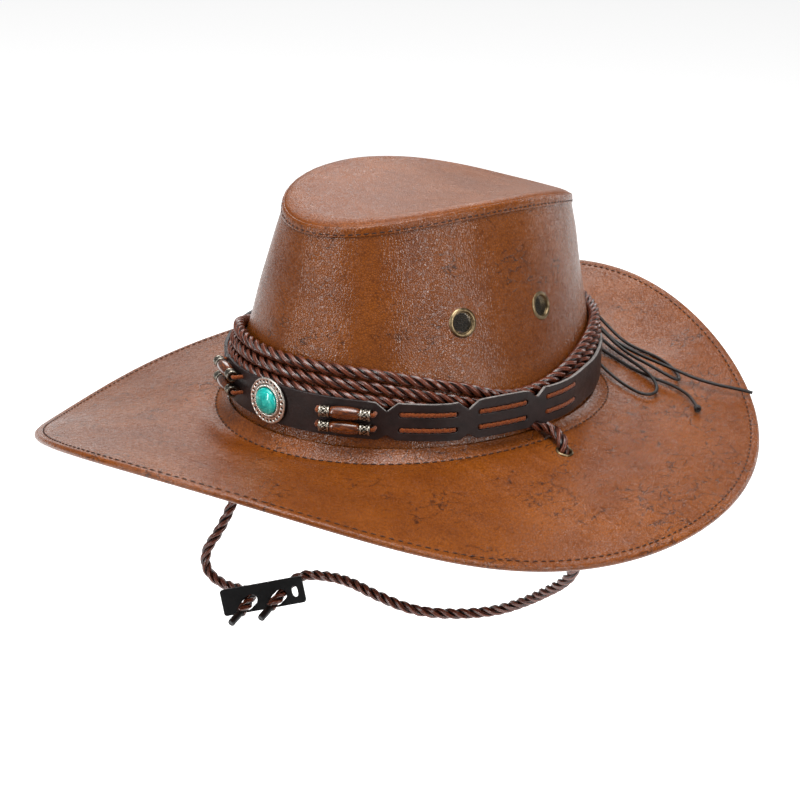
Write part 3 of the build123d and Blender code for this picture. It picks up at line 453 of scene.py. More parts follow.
def wood_mat():
    m, nt, b = new_mat("bead_wood_lacquered")
    k = Net(nt)
    v = k.coords((1, 1, 1), "loc")
    st = k.node("ShaderNodeMapping"); st.inputs["Scale"].default_value = (1.0, 1.0, 0.16)
    nt.links.new(v, st.inputs["Vector"])
    g = k.noise(st.outputs[0], 1.7, 6.0, 0.6, 0.8)
    col = k.ramp(g, [(0.3, srgb(30, 11, 4)), (0.48, srgb(78, 34, 10)), (0.62, srgb(126, 62, 18)), (0.8, srgb(160, 88, 30))])
    nt.links.new(col, b.inputs["Base Color"])
    b.inputs["Roughness"].default_value = 0.22
    b.inputs["Coat Weight"].default_value = 0.8
    b.inputs["Coat Roughness"].default_value = 0.06
    nt.links.new(k.bump(g, 0.00006, 0.4), b.inputs["Normal"])
    return m


M["turquoise"] = turquoise_mat()
M["wood"] = wood_mat()


# ------------------------------------------------------------------ mesh helpers
def link_mesh(name, verts, faces, mats, body, smooth=True, index=None, attrs=None):
    me = bpy.data.meshes.new(name)
    v = np.asarray(verts, float) * MM
    me.from_pydata([tuple(p) for p in v], [], [tuple(f) for f in faces])
    me.update()
    if smooth:
        me.polygons.foreach_set("use_smooth", [True] * len(me.polygons))
    if index is not None:
        me.polygons.foreach_set("material_index", list(index))
    for key, vals in (attrs or {}).items():
        vals = np.asarray(vals, float)
        if vals.ndim == 2:
            a = me.attributes.new(key, "FLOAT_VECTOR", "POINT")
            a.data.foreach_set("vector", vals.ravel())
        else:
            a = me.attributes.new(key, "FLOAT", "POINT")
            a.data.foreach_set("value", vals)
    ob = bpy.data.objects.new(name, me)
    for m in (mats if isinstance(mats, (list, tuple)) else [mats]):
        me.materials.append(m)
    bpy.context.scene.collection.objects.link(ob)
    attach(ob, body)
    return ob


def grid_faces(nu, nv, close_u, close_v, base=0, flip=False):
    out = []
    for i in range(nu if close_u else nu - 1):
        for j in range(nv if close_v else nv - 1):
            a, b = base + i * nv + j, base + ((i + 1) % nu) * nv + j
            c, d = base + ((i + 1) % nu) * nv + (j + 1) % nv, base + i * nv + (j + 1) % nv
            out.append((a, d, c, b) if flip else (a, b, c, d))
    return out


class Soup:
    """Verts, faces, material indices and one float attribute, gathered before one object is made."""

    def __init__(self):
        self.v, self.f, self.m, self.a, self.l = [], [], [], [], []

    def add(self, verts, faces, mat=0, attr=None, loc=None):
        o = len(self.v)
        verts = [tuple(p) for p in verts]
        self.v += verts
        self.f += [tuple(i + o for i in f) for f in faces]
        self.m += [mat] * len(faces)
        self.a += list(attr) if attr is not None else [1.0] * len(verts)
        self.l += [tuple(p) for p in loc] if loc is not None else verts

    def make(self, name, mats, body, slot=None, replaces=(), smooth=True):
        ob = link_mesh(name, self.v, self.f, mats, body, smooth, self.m, {"lift": self.a, "loc": self.l})
        if replaces:
            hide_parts(*replaces)
        return ob


def basis(n, hint=Vector((0, 0, 1))):
    n = n.normalized()
    u = hint.cross(n)
    if u.length < 1e-4:
        u = Vector((1, 0, 0)).cross(n)
    u.normalize()
    return u, n.cross(u), n


def revolve(profile, seg, origin, axis, hint=Vector((0, 0, 1)), bend=None, close=False):
    """profile: list of (r, h); returns verts, faces, loc."""
    u, v, n = basis(axis, hint)
    verts, loc = [], []
    for i in range(seg):
        a = TAU * i / seg
        d = u * math.cos(a) + v * math.sin(a)
        for j, (r, h) in enumerate(profile):
            if bend:
                r, h = bend(a, j, r, h)
            verts.append(origin + d * r + n * h)
            loc.append((r * math.cos(a), r * math.sin(a), h))
    faces = grid_faces(seg, len(profile), True, close)
    return verts, faces, loc


def capsule(p, q, r, seg=6, rings=3, out=None, flat=0.75):
    """Small stitch from p to q, sunk at both ends."""
    ax = (q - p)
    L = ax.length
    ax.normalize()
    n = (out - ax * out.dot(ax)).normalized()
    s = ax.cross(n)
    verts, faces = [], []
    prof = [(0.0, 0.0, -0.35), (0.06, 0.62, -0.12), (0.22, 0.95, 0.04), (0.5, 1.0, 0.1), (0.78, 0.95, 0.04), (0.94, 0.62, -0.12), (1.0, 0.0, -0.35)]
    for f, k, lift in prof:
        c = p + ax * (L * f) + n * (lift * r * 2)
        if k == 0.0:
            verts.append(c)
            continue
        for i in range(seg):
            a = TAU * i / seg
            verts.append(c + s * (math.cos(a) * r * k) + n * (math.sin(a) * r * k * flat))
    rows = [1 + i * seg for i in range(5)]
    for i in range(seg):
        j = (i + 1) % seg
        faces.append((0, rows[0] + j, rows[0] + i))
        for a, b in zip(rows, rows[1:]):
            faces.append((a + i, a + j, b + j, b + i))
        faces.append((rows[-1] + i, rows[-1] + j, len(verts) - 1))
    return verts, faces


def stitch_row(name, pts, normals, closed, pitch, length, r, body="hat", seed=3, mat="stitch"):
    rnd = random.Random(seed)
    P = [Vector(p) for p in pts]
    if closed:
        P.append(P[0]); normals = list(normals) + [normals[0]]
    acc = [0.0]
    for a, b in zip(P, P[1:]):
        acc.append(acc[-1] + (b - a).length)
    n = int(round(acc[-1] / pitch))
    pitch = acc[-1] / n
    soup = Soup()

    def at(s):
        s = max(0.0, min(acc[-1], s))
        lo, hi = 0, len(acc) - 1
        while hi - lo > 1:
            mid = (lo + hi) // 2
            if acc[mid] <= s:
                lo = mid
            else:
                hi = mid
        f = (s - acc[lo]) / max(1e-9, acc[hi] - acc[lo])
        return P[lo].lerp(P[hi], f), Vector(normals[lo]).lerp(Vector(normals[hi]), f).normalized()
    for i in range(n):
        c = (i + 0.5) * pitch
        h = length / 2 * rnd.uniform(0.9, 1.06)
        p, n0 = at(c - h)
        q, n1 = at(c + h)
        side = (q - p).cross(n0).normalized() * rnd.uniform(-0.08, 0.08)
        v, f = capsule(p + side, q - side, r, out=n0)
        soup.add(v, f)
    return soup.make(name, M[mat], body)


def frames(P):
    """Parallel-transport frames along a polyline (numpy, closed False)."""
    T = np.gradient(P, axis=0)
    T /= np.linalg.norm(T, axis=1)[:, None]
    n = np.cross(T[0], [0.0, 0.0, 1.0])
    if np.linalg.norm(n) < 0.2:
        n = np.cross(T[0], [1.0, 0.0, 0.0])
    n /= np.linalg.norm(n)
    N = [n]
    for i in range(1, len(P)):
        n = N[-1] - T[i] * np.dot(N[-1], T[i])
        n /= np.linalg.norm(n)
        N.append(n)
    N = np.array(N)
    return T, N, np.cross(T, N)


def spline_points(name, route, step):
    """Points along the smooth NURBS line with these control points, evenly spaced, in mm."""
    cu = bpy.data.curves.new(name + "_line", "CURVE")
    cu.dimensions = "3D"
    cu.resolution_u = 24
    sp = cu.splines.new("NURBS")
    sp.points.add(len(route) - 1)
    for p, c in zip(sp.points, route):
        p.co = (c[0], c[1], c[2], 1.0)
    sp.order_u = 3
    sp.use_endpoint_u = True
    ob = bpy.data.objects.new(name + "_line", cu)
    me = bpy.data.meshes.new_from_object(ob)
    P = np.empty(len(me.vertices) * 3)
    me.vertices.foreach_get("co", P)
    P = P.reshape(-1, 3)
    bpy.data.objects.remove(ob)
    bpy.data.curves.remove(cu)
    bpy.data.meshes.remove(me)
    d = np.r_[0, np.cumsum(np.linalg.norm(np.diff(P, axis=0), axis=1))]
    keep = np.r_[True, np.diff(d) > 1e-9]
    P, d = P[keep], d[keep]
    n = max(2, int(round(d[-1] / step)))
    s = np.linspace(0, d[-1], n + 1)
    return np.stack([np.interp(s, d, P[:, i]) for i in range(3)], axis=1), s


def rope_mesh(name, P, s, body, phase=0.0, taper=(0, 0), pitch=19.5, rs=1.42, rh=1.52, sides=24):
    """Three-strand rope, right-hand lay, each strand with yarn lobes."""
    T, N, B = frames(P)
    soup = Soup()
    L = s[-1]
    psi = np.arange(sides) * TAU / sides
    for k in range(3):
        a = TAU * s / pitch + TAU * k / 3 + phase
        C = P + rh * (N * np.cos(a)[:, None] + B * np.sin(a)[:, None])
        out = N * np.cos(a)[:, None] + B * np.sin(a)[:, None]
        t = np.gradient(C, axis=0)
        t /= np.linalg.norm(t, axis=1)[:, None]
        side = np.cross(t, out)
        side /= np.linalg.norm(side, axis=1)[:, None]
        nrm = np.cross(side, t)
        lobe = 1 + 0.09 * np.cos(6 * psi[None, :] + (TAU * s / 34.0)[:, None] * 6)
        rr = rs * lobe
        if taper[0]:
            f = np.clip(s / taper[0], 0, 1)
            rr = rr * np.sqrt(np.clip(1 - (1 - f) ** 2, 0.02, 1))[:, None]
        if taper[1]:
            f = np.clip((L - s) / taper[1], 0, 1)
            rr = rr * np.sqrt(np.clip(1 - (1 - f) ** 2, 0.02, 1))[:, None]
        V = C[:, None, :] + rr[:, :, None] * (np.cos(psi)[None, :, None] * nrm[:, None, :] + np.sin(psi)[None, :, None] * side[:, None, :])
        # lift: high on the strand's outer side and yarn ridges, low on its inner side; the rope material paints shade
        # into the gaps and light onto the tops from it
        lift = np.clip(0.5 + 0.5 * np.cos(psi)[None, :] + 3.2 * (lobe - 1), 0, 1.1)
        nn = len(P)
        faces = grid_faces(nn, sides, False, True, flip=False)
        faces.append(tuple(range(sides)))
        faces.append(tuple(reversed(range((nn - 1) * sides, nn * sides))))
        soup.add(V.reshape(-1, 3), faces, 0, lift.ravel())
    ob = soup.make(name, M["rope"], body, slot="dark_rope")
    return ob


def bump_noise(x, y, z, scale, seed=0.0):
    return noise.noise(Vector((x / scale + seed, y / scale - seed, z / scale + seed * 0.5)))


# ------------------------------------------------------------------ cords (control points as in the solid model)
def low_strand(deg):
    d = (deg + 180.0) % 360.0 - 180.0
    return table([(-180, 29.0), (-140, 26.5), (-128, 24.5), (-112, 19.0), (-94, 10.9), (-75, 10.9), (-58, 19.5), (-42, 25.5), (-30, 27.8), (0, 28.6), (22, 28.2),
                  (40, 26.0), (58, 21.0), (74, 10.9), (90, 10.9), (112, 19.0), (128, 24.5), (140, 26.5), (180, 29.0)], d)


def rope_lift(turned):
    return ROPE_PITCH * sum(max(0.0, min(1.0, (-110.0 - 360.0 * k - turned) / 140.0)) for k in (0, 1))


def rope_out(deg):
    d = (deg + 180.0) % 360.0 - 180.0
    return table([(-66, 0.0), (-46, 0.9), (-36, 0.9), (-15, 0.0), (112, 0.0), (130, 0.9), (150, 0.6), (172, 0.0)], d)


def rope_pt(deg, z, out=0.0):
    t = math.radians(deg)
    x, y = crown_pt(t, z, ROPE_D / 2 + 1.35 + out)
    return (x, y, z)


def eye_pt(s, h):
    p = EYES[s][0] + EYES[s][1] * h
    return (p.x, p.y, p.z)


rope_route = [eye_pt(1, -BRIM_T - 4.0), eye_pt(1, 4.6), (*ring_pt(math.radians(89.5), 8.5), 4.4), (*ring_pt(math.radians(83.5), 3.2), 7.8), rope_pt(74, 10.5)]
for j in range(71):
    turned = 64.0 - 12.0 * j
    rope_route.append(rope_pt(turned, low_strand(turned) + rope_lift(turned), rope_out(turned)))
rope_route += [rope_pt(-68, 26.6), rope_pt(-80, 28.4), rope_pt(-91, 31.0, 1.2)]
rope_route += [(*ring_pt(math.radians(-100), 9.8), 31.5), (*ring_pt(math.radians(-105.5), 13.8), 25.5), (*ring_pt(math.radians(-105.5), 15.5), 16.5),
               (*ring_pt(math.radians(-99.5), 17.0), 9.5), (*ring_pt(math.radians(-91.5), 19.0), 5.6)]
rope_route += [eye_pt(-1, 3.6), eye_pt(-1, -BRIM_T - 4.0)]

PIVOT_Y, PIVOT_Z = -5.35, -12.5
T_N = Vector((0.6022, -0.7708, 0.2079))
T_O = Vector((-71.83, -41.0, -133.63))
T_H = Vector((0.788, 0.6157, 0.0))
T_V = T_N.cross(T_H).normalized()
SL_A = math.radians(14.3)
T_U = T_H * math.cos(SL_A) + T_V * math.sin(SL_A)
T_W = T_N.cross(T_U)
SLIDE = Vector((0.200, -0.924, -0.325)).normalized()
HOLE_1 = T_O + T_U * -8.2 + T_W * -2.0
HOLE_2 = T_O + T_U * 8.7 + T_W * -2.2
TIP_START, TIP_LEN = 9.5, 9.5

left_route = [(105.06, -5.35, -12.5), (108.6, -4.2, -31.0), (112.6, 0.6, -50.0), (111.2, 5.4, -68.0), (102.0, 9.6, -81.0), (87.0, 14.5, -93.0),
              (68.0, 17.8, -107.5), (47.5, 16.6, -120.0), (26.5, 7.0, -126.0), (8.0, -4.5, -126.5), (-13.0, -12.0, -122.0),
              (-33.0, -13.5, -119.5), (-52.0, -16.8, -121.5), (-63.0, -22.5, -124.0), tuple(HOLE_2 - SLIDE * 8.5), tuple(HOLE_2 + SLIDE * TIP_START)]
right_route = [(-105.06, -5.35, -12.5), (-107.4, -6.6, -31.0), (-110.0, -10.8, -53.0), (-113.0, -17.0, -74.0), (-113.6, -25.0, -94.0), (-115.4, -34.0, -110.0),
               (-120.6, -40.5, -122.0), (-118.5, -42.0, -133.0), (-106.0, -41.5, -137.5), (-91.0, -40.5, -136.2), tuple(HOLE_1 - SLIDE * 8.5),
               tuple(HOLE_1 + SLIDE * TIP_START)]
long_route = [(4.9, 117.6, 23.2), (12.5, 121.9, 19.4), (23.0, 124.8, 12.2), (34.0, 121.8, 8.2), (47.0, 117.4, 7.4), (62.0, 113.8, 7.0), (74.0, 113.2, 6.2),
              (84.5, 114.6, 4.6), (95.7, 117.9, 1.8), (106.5, 123.6, -0.4), (114.5, 130.0, -1.8), (121.0, 135.2, -3.6)]
short_route = [(5.2, 115.8, 19.4), (12.0, 118.4, 12.3), (22.0, 118.4, 5.6), (34.0, 115.2, 2.6), (47.0, 111.6, 1.6), (61.5, 107.2, 0.8), (76.0, 105.6, 0.0),
               (87.0, 107.4, -1.2), (96.8, 107.0, -2.7), (105.0, 103.8, -4.2), (111.0, 99.2, -5.4)]
loop_a_route = [(5.0, 114.2, 17.8), (12.0, 113.6, 9.5), (25.0, 109.5, 2.8), (43.5, 101.2, 0.4), (55.0, 94.6, 0.0), (66.0, 89.0, -0.2), (77.0, 85.0, -0.6), (85.0, 84.2, -1.4),
                (89.4, 88.0, -1.8), (88.4, 94.2, -1.4), (83.6, 99.6, -0.2), (76.0, 103.6, 2.2), (66.0, 107.6, 3.2), (55.0, 111.4, 3.8), (43.0, 115.0, 4.8), (30.0, 118.2, 7.8),
                (15.0, 119.2, 14.4), (5.2, 116.9, 21.0)]
loop_b_route = [(4.4, 117.6, 25.4), (15.0, 125.4, 21.2), (26.5, 128.6, 11.6), (38.5, 127.4, 6.2), (50.0, 126.6, 4.6), (61.0, 126.6, 3.8), (71.0, 124.8, 2.6), (79.5, 121.0, 1.4),
                (86.0, 116.6, 0.6), (88.9, 112.6, 0.4), (87.4, 109.6, 1.6), (80.5, 108.4, 3.6), (70.0, 108.8, 5.6), (58.0, 110.8, 6.4), (45.5, 114.4, 8.0), (31.0, 119.4, 11.4),
                (16.0, 120.2, 17.4), (5.4, 114.6, 22.6)]


def lie(p):
    """A tie-cord point is kept clear of the brim, as in the solid model."""
    if math.hypot(p[0], p[1]) < 186:
        return (p[0], p[1], round(max(p[2], brim_z(p[0], p[1]) + 0.9 + 0.45), 2))
    return p


def waxed_cord(name, route, node):
    route = [route[0]] + [lie(p) for p in route[1:]]
    cu = bpy.data.curves.new(name, "CURVE")
    cu.dimensions = "3D"
    cu.resolution_u = 12
    cu.bevel_depth = 0.9 * MM
    cu.bevel_resolution = 4
    cu.use_fill_caps = True
    sp = cu.splines.new("NURBS")
    sp.points.add(len(route) - 1)
    for p, c in zip(sp.points, route):
        p.co = (c[0] * MM, c[1] * MM, c[2] * MM, 1.0)
    sp.order_u = 3
    sp.use_endpoint_u = True
    sp.use_smooth = True
    cu.materials.append(M["waxed"])
    ob = bpy.data.objects.new(name, cu)
    bpy.context.scene.collection.objects.link(ob)
    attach(ob, "hat")
    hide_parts(node)
    P, s = spline_points(name, route, 1.0)
    return ob, P


# twisted rope round the crown
P, s = spline_points("rope_wraps", rope_route, 0.8)
wraps = rope_mesh("rope_twisted_wraps", P, s, "hat")
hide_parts("rope_wraps")


def chin(name, route, node, tip_node, sgn):
    P, s = spline_points(name, route, 0.7)
    ob = rope_mesh(name, P, s, "chin_cord", phase=1.1 * sgn, taper=(2.4, 0))
    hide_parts(node)
    # sleeve over the cord's end
    o = Vector(route[-1])
    soup = Soup()
    prof = [(0.0, -0.6), (1.5, -0.6), (2.02, -0.35), (2.1, 0.1), (2.06, 2.2), (2.1, 4.6), (2.04, 7.2), (2.08, TIP_LEN - 0.9), (1.9, TIP_LEN - 0.3), (1.5, TIP_LEN), (0.9, TIP_LEN - 0.1), (0.0, TIP_LEN - 0.35)]
    v, f, l = revolve(prof, 28, o, SLIDE, bend=lambda a, j, r, h: (r * (1 + 0.03 * math.sin(3 * a + h)), h))
    soup.add(v, f, 0, None, l)
    tip = soup.make(name + "_sleeve", M["sleeve"], "chin_cord", slot="black_sleeve", replaces=[tip_node])
    return ob


chin("chin_rope_left", left_route, "chin_cord_left", "cord_tip_left", 1)
chin("chin_rope_right", right_route, "chin_cord_right", "cord_tip_right", -1)

# knot on the short tie cord, tied in the cord itself
soup = Soup()
e = Vector(short_route[-1]); d = (Vector(short_route[-1]) - Vector(short_route[-2])).normalized()
u, v, n = basis(d)
kc = e + d * 1.7
for q in range(3):
    pts = []
    for i in range(40):
        a = TAU * i / 40
        pts.append(kc + (u * math.cos(a) + v * math.sin(a)) * 1.15 + d * (0.75 * math.sin(2 * a + q * 2.1)) + u * (0.12 * (q - 1)))
    for i, c in enumerate(pts):
        pass
    V = []
    for i in range(40):
        c = pts[i]; t = (pts[(i + 1) % 40] - pts[i - 1]).normalized()
        w = (c - kc).normalized(); w = (w - t * w.dot(t)).normalized(); b2 = t.cross(w)
        for j in range(8):
            a = TAU * j / 8
            V.append(c + w * (0.8 * math.cos(a)) + b2 * (0.8 * math.sin(a)))
    soup.add(V, grid_faces(40, 8, True, True))
end_knot = soup.make("tie_end_knot_tied", M["waxed"], "hat", slot="waxed_cord", replaces=["tie_end_knot"])
waxed_cord("tie_cord_long_wax", long_route, "tie_cord_long")
waxed_cord("tie_cord_short_wax", short_route, "tie_cord_short")
waxed_cord("tie_loop_inner_wax", loop_a_route, "tie_loop_inner")
waxed_cord("tie_loop_outer_wax", loop_b_route, "tie_loop_outer")

# bow knot: turns of the same cord round the crossing
KNOT = Vector((2.0, 114.4, 22.0))
soup = Soup()


def turn_of_cord(points, r, closed=False, sides=9):
    P = np.array([tuple(p) for p in points])
    if closed:
        T = np.roll(P, -1, 0) - np.roll(P, 1, 0)
        T /= np.linalg.norm(T, axis=1)[:, None]
    else:
        T = np.gradient(P, axis=0); T /= np.linalg.norm(T, axis=1)[:, None]
    c = P.mean(0)
    V = []
    for i in range(len(P)):
        w = P[i] - c
        w = w - T[i] * np.dot(w, T[i])
        w /= max(1e-6, np.linalg.norm(w))
        b = np.cross(T[i], w)
        for j in range(sides):
            a = TAU * j / sides
            V.append(P[i] + w * (r * math.cos(a)) + b * (r * math.sin(a)))
    f = grid_faces(len(P), sides, closed, True)
    if not closed:
        f += [tuple(range(sides)), tuple(reversed(range((len(P) - 1) * sides, len(P) * sides)))]
    return V, f


for q, (tilt, r1, r2) in enumerate(((0.5, 2.4, 2.5), (-0.7, 2.5, 2.3), (1.6, 2.2, 2.7), (2.5, 2.4, 2.2))):
    pts = []
    for i in range(36):
        a = TAU * i / 36
        p = Vector((math.cos(a) * r1, 0.9 * math.sin(2 * a + q), math.sin(a) * r2))
        p = Matrix.Rotation(tilt, 3, "Y") @ (Matrix.Rotation(0.55 * (q - 1.5), 3, "X") @ p)
        p.y *= 0.75
        pts.append(KNOT + p)
    soup.add(*turn_of_cord(pts, 0.92, True))
for s_ in (1, -1):
    t0 = math.radians(180 - 6 * s_)
    h = band_off(t0) + BAND_T
    inner = Vector((*ring_pt(t0, band_off(t0) - 0.9), 22.0)); outer = Vector((*ring_pt(t0, h + 1.0), 22.0))
    pts = [inner, inner.lerp(outer, 0.5), outer, outer.lerp(KNOT, 0.3) + Vector((0, 0.7, 0)), outer.lerp(KNOT, 0.8)]
    fine = []
    for a, b in zip(pts, pts[1:]):
        fine += [a.lerp(b, f / 5) for f in range(5)]
    fine.append(pts[-1])
    for _ in range(3):
        fine = [fine[0]] + [(fine[i - 1] + fine[i] * 2 + fine[i + 1]) / 4 for i in range(1, len(fine) - 1)] + [fine[-1]]
    P_ = np.array([tuple(p) for p in fine]); T_, N_, B_ = frames(P_)
    V = []
    for i in range(len(P_)):
        for j in range(9):
            a = TAU * j / 9
            V.append(P_[i] + 0.9 * (N_[i] * math.cos(a) + B_[i] * math.sin(a)))
    soup.add(V, grid_faces(len(P_), 9, False, True) + [tuple(range(9)), tuple(reversed(range((len(P_) - 1) * 9, len(P_) * 9)))])
soup.make("bow_knot_and_lacing", M["waxed"], "hat", slot="waxed_cord", replaces=["tie_knot", "tie_lacing"])


# ------------------------------------------------------------------ crown
def hole_snap(V, F, centers, radius, cut):
    """Drop faces over a hole and pull the open edge onto a circle."""
    V = [Vector(v) for v in V]
    keep = []
    for f in F:
        c = sum((V[i] for i in f), Vector()) / len(f)
        hit = False
        for o, n in centers:
            d = c - o
            if abs(d.dot(n)) < 9 and (d - n * d.dot(n)).length < cut:
                hit = True
                break
        if not hit:
            keep.append(f)
    count = {}
    for f in keep:
        for a, b in zip(f, f[1:] + f[:1]):
            k = (min(a, b), max(a, b))
            count[k] = count.get(k, 0) + 1
    rim = {i for k, c in count.items() if c == 1 for i in k}
    for i in rim:
        for o, n in centers:
            d = V[i] - o
            h = d.dot(n)
            p = d - n * h
            if abs(h) < 9 and p.length < radius * 1.9:
                V[i] = o + n * h + p.normalized() * radius
    return V, keep


def wall_grid(off, z_low, top_drop, nt, nz, lump=0.0, seed=1.0, belly=0.0):
    V = []
    for i in range(nt):
        t = TAU * i / nt
        x, y, zs = seam_at(t, 0.0)
        zt = zs - top_drop
        for j in range(nz):
            f = j / (nz - 1)
            z = z_low + (zt - z_low) * f
            o = off
            if lump:
                fade = min(1.0, f * 4) * min(1.0, (1 - f) * 6)
                o += lump * fade * (bump_noise(math.sin(t) * 60, math.cos(t) * 60, z, 34.0, seed) + 0.5 * bump_noise(math.sin(t) * 60, math.cos(t) * 60, z * 0.55, 13.0, seed + 4))
            o += belly * math.sin(math.pi * f) ** 1.4
            V.append((*crown_pt(t, z, o), z))
    return V, grid_faces(nt, nz, True, False)


V, F = wall_grid(0.0, 0.25, 0.1, 560, 96, lump=0.75, belly=0.5)
V, F = hole_snap(V, F, VENTS, 6.5, 6.0)
side = link_mesh("crown_side_leather", V, F, [M["leather_wall"], M["leather_cut"]], "hat")
sol = side.modifiers.new("thick", "SOLIDIFY"); sol.thickness = 1.15 * MM; sol.offset = -1
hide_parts("crown_side")

V, F = wall_grid(-1.3, 0.3, 1.7, 300, 40)
V, F = hole_snap(V, F, VENTS, 6.5, 6.0)
lin = link_mesh("crown_lining_wall", V, F, M["lining"], "hat")
sol = lin.modifiers.new("thick", "SOLIDIFY"); sol.thickness = 0.9 * MM; sol.offset = -1
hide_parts("crown_side_lining")

# sweatband: a turned strip with rolled lower edge and a row of stitches
V = []
NT = 320
for i in range(NT):
    t = TAU * i / NT
    prof = [(-2.45, 0.6), (-2.5, 0.15), (-2.8, 0.0), (-3.3, 0.05), (-3.6, 0.5), (-3.65, 1.5), (-3.6, 6), (-3.62, 13), (-3.55, 20), (-3.6, 26.4), (-3.5, 27.6), (-3.1, 28.0), (-2.7, 27.8), (-2.45, 27.2), (-2.45, 14), (-2.45, 4)]
    for o, z in prof:
        w = 0.05 * bump_noise(math.sin(t) * 80, math.cos(t) * 80, z, 9.0, 7.0) if o < -3.4 else 0
        V.append((*crown_pt(t, z, o + w), z))
sb = link_mesh("sweatband_strip", V, grid_faces(NT, 16, True, True), M["sweat"], "hat")
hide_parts("sweatband")
pts, nrm = [], []
for i in range(260):
    t = TAU * i / 260
    x, y = crown_pt(t, 25.6, -3.64); n = normal2(t)
    pts.append((x, y, 25.6)); nrm.append((-n[0], -n[1], 0.2))
stitch_row("sweatband_stitching", pts, nrm, True, 3.4, 2.3, 0.2, mat="sweat")

# tip: shallow dish with a soft ridge inside the seam
NR, NT = 60, 300
V, F = [], []
tip_ring = []
for i in range(NT):
    t = TAU * i / NT
    sx, sy, sz = seam_at(t, 0.0)
    cx0, cy0 = 0.0, SHIFT
    col = []
    for j in range(NR):
        r = 1 - (j / NR) ** 1.0
        x, y = cx0 + (sx - cx0) * r, cy0 + (sy - cy0) * r
        d = (1 - r)
        edge = min(1.0, d * 22)
        z = seam_z(y) + 0.35 + 0.8 * math.sin(edge * math.pi / 2) + 0.55 * math.exp(-((d - 0.09) / 0.05) ** 2) - 3.2 * (1 - math.exp(-(d / 0.42) ** 2)) * 1.0
        z += 0.32 * bump_noise(x, y, 0, 22.0, 3.0) * min(1, d * 6)
        col.append((x, y, z))
    x1, y1, z1 = seam_at(t, 0.0)
    V.append((x1, y1, z1 - 0.05)); V += col
NV = NR + 1
F = grid_faces(NT, NV, True, False)
c = len(V)
V.append((0, SHIFT, seam_z(SHIFT) + 0.35 + 0.8 - 3.2 * (1 - math.exp(-(1 / 0.42) ** 2))))
F += [(i * NV + NV - 1, ((i + 1) % NT) * NV + NV - 1, c) for i in range(NT)]
tip = link_mesh("crown_tip_leather", V, F, [M["leather_tip"]], "hat")
sol = tip.modifiers.new("thick", "SOLIDIFY"); sol.thickness = 1.0 * MM; sol.offset = -1
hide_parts("crown_tip")

V = []
for i in range(240):
    t = TAU * i / 240
    for j in range(24):
        r = 1 - j / 24
        x1, y1, _ = seam_at(t, -1.4)
        x, y = x1 * r, SHIFT + (y1 - SHIFT) * r
        V.append((x, y, seam_z(y) - 0.25 - 3.2 * (1 - math.exp(-((1 - r) / 0.42) ** 2))))
c = len(V)
V.append((0, SHIFT, seam_z(SHIFT) - 0.25 - 3.2))
tl = link_mesh("crown_lining_tip", V, grid_faces(240, 24, True, False) + [(i * 24 + 23, ((i + 1) % 240) * 24 + 23, c) for i in range(240)], M["lining"], "hat")
sol = tl.modifiers.new("thick", "SOLIDIFY"); sol.thickness = 0.9 * MM; sol.offset = -1
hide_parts("crown_tip_lining")

# welt: folded leather strip that covers the seam, topstitched along its lower edge
V = []
NT = 420
prof = [(-0.25, 0.2), (0.12, 0.42), (0.52, 0.35), (0.82, 0.02), (0.95, -0.6), (0.9, -1.6), (0.78, -2.6), (0.62, -3.2), (0.72, -3.9), (0.62, -4.35), (0.3, -4.5), (0.02, -4.4)]
for i in range(NT):
    t = TAU * i / NT
    x, y, z = seam_at(t, 0.0)
    w = 0.07 * math.sin(t * 57) + 0.1 * bump_noise(x, y, z, 8.0, 2.0)
    for o, dz in prof:
        zz = z + dz
        V.append((*crown_pt(t, zz, o + (w if o > 0.5 else 0)), zz))
welt = link_mesh("tip_welt_strip", V, grid_faces(NT, len(prof), True, True), M["leather"], "hat")
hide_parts("tip_welt")
pts, nrm = [], []
for i in range(400):
    t = TAU * i / 400
    x, y, z = seam_at(t, 0.0)
    n = normal2(t)
    pts.append((*crown_pt(t, z - 3.2, 0.72), z - 3.2)); nrm.append((n[0], n[1], 0.28))
stitch_row("tip_welt_stitching", pts, nrm, True, 3.9, 2.7, 0.31)

# ------------------------------------------------------------------ brim
US = np.concatenate([np.linspace(0, 1, 26)[:-1] ** 0.9 * 0.999, ])


def brim_rows(i, lift, cut, n_in=22, n_out=74):
    """Radial samples of the brim's top line at angle i, ending cut short of the lip start; lift is not used."""
    pts, re, ze, r3 = PROFILES[i]
    f = SPLINES[i]
    rr = np.concatenate([np.linspace(pts[0][0], r3, n_in)[:-1], r3 + (re - LIP - cut - r3) * np.linspace(0, 1, n_out)])
    return rr, f(rr), re, ze


def brim_lump(x, y, r, r3, re):
    f = max(0.0, min(1.0, (r - r3) / 12)) * max(0.0, min(1.0, (re - r) / 14))
    near = math.exp(-((r - r3 - 6) / 14.0) ** 2)
    a = math.atan2(x, -y)
    return f * (0.9 * bump_noise(x, y, 0, 55.0, 5.0) + 0.4 * bump_noise(x, y, 0, 19.0, 9.0)) + 0.55 * f * near * bump_noise(a * 90, r * 0.45, 0, 6.0, 2.0)


def groove(r, r3, re):
    """Dip pressed by the thread along both stitch lines."""
    g = -0.38 * math.exp(-((r - r3) / 0.9) ** 2)
    g += -0.3 * math.exp(-((r - (re - 4.6)) / 0.8) ** 2)
    return g


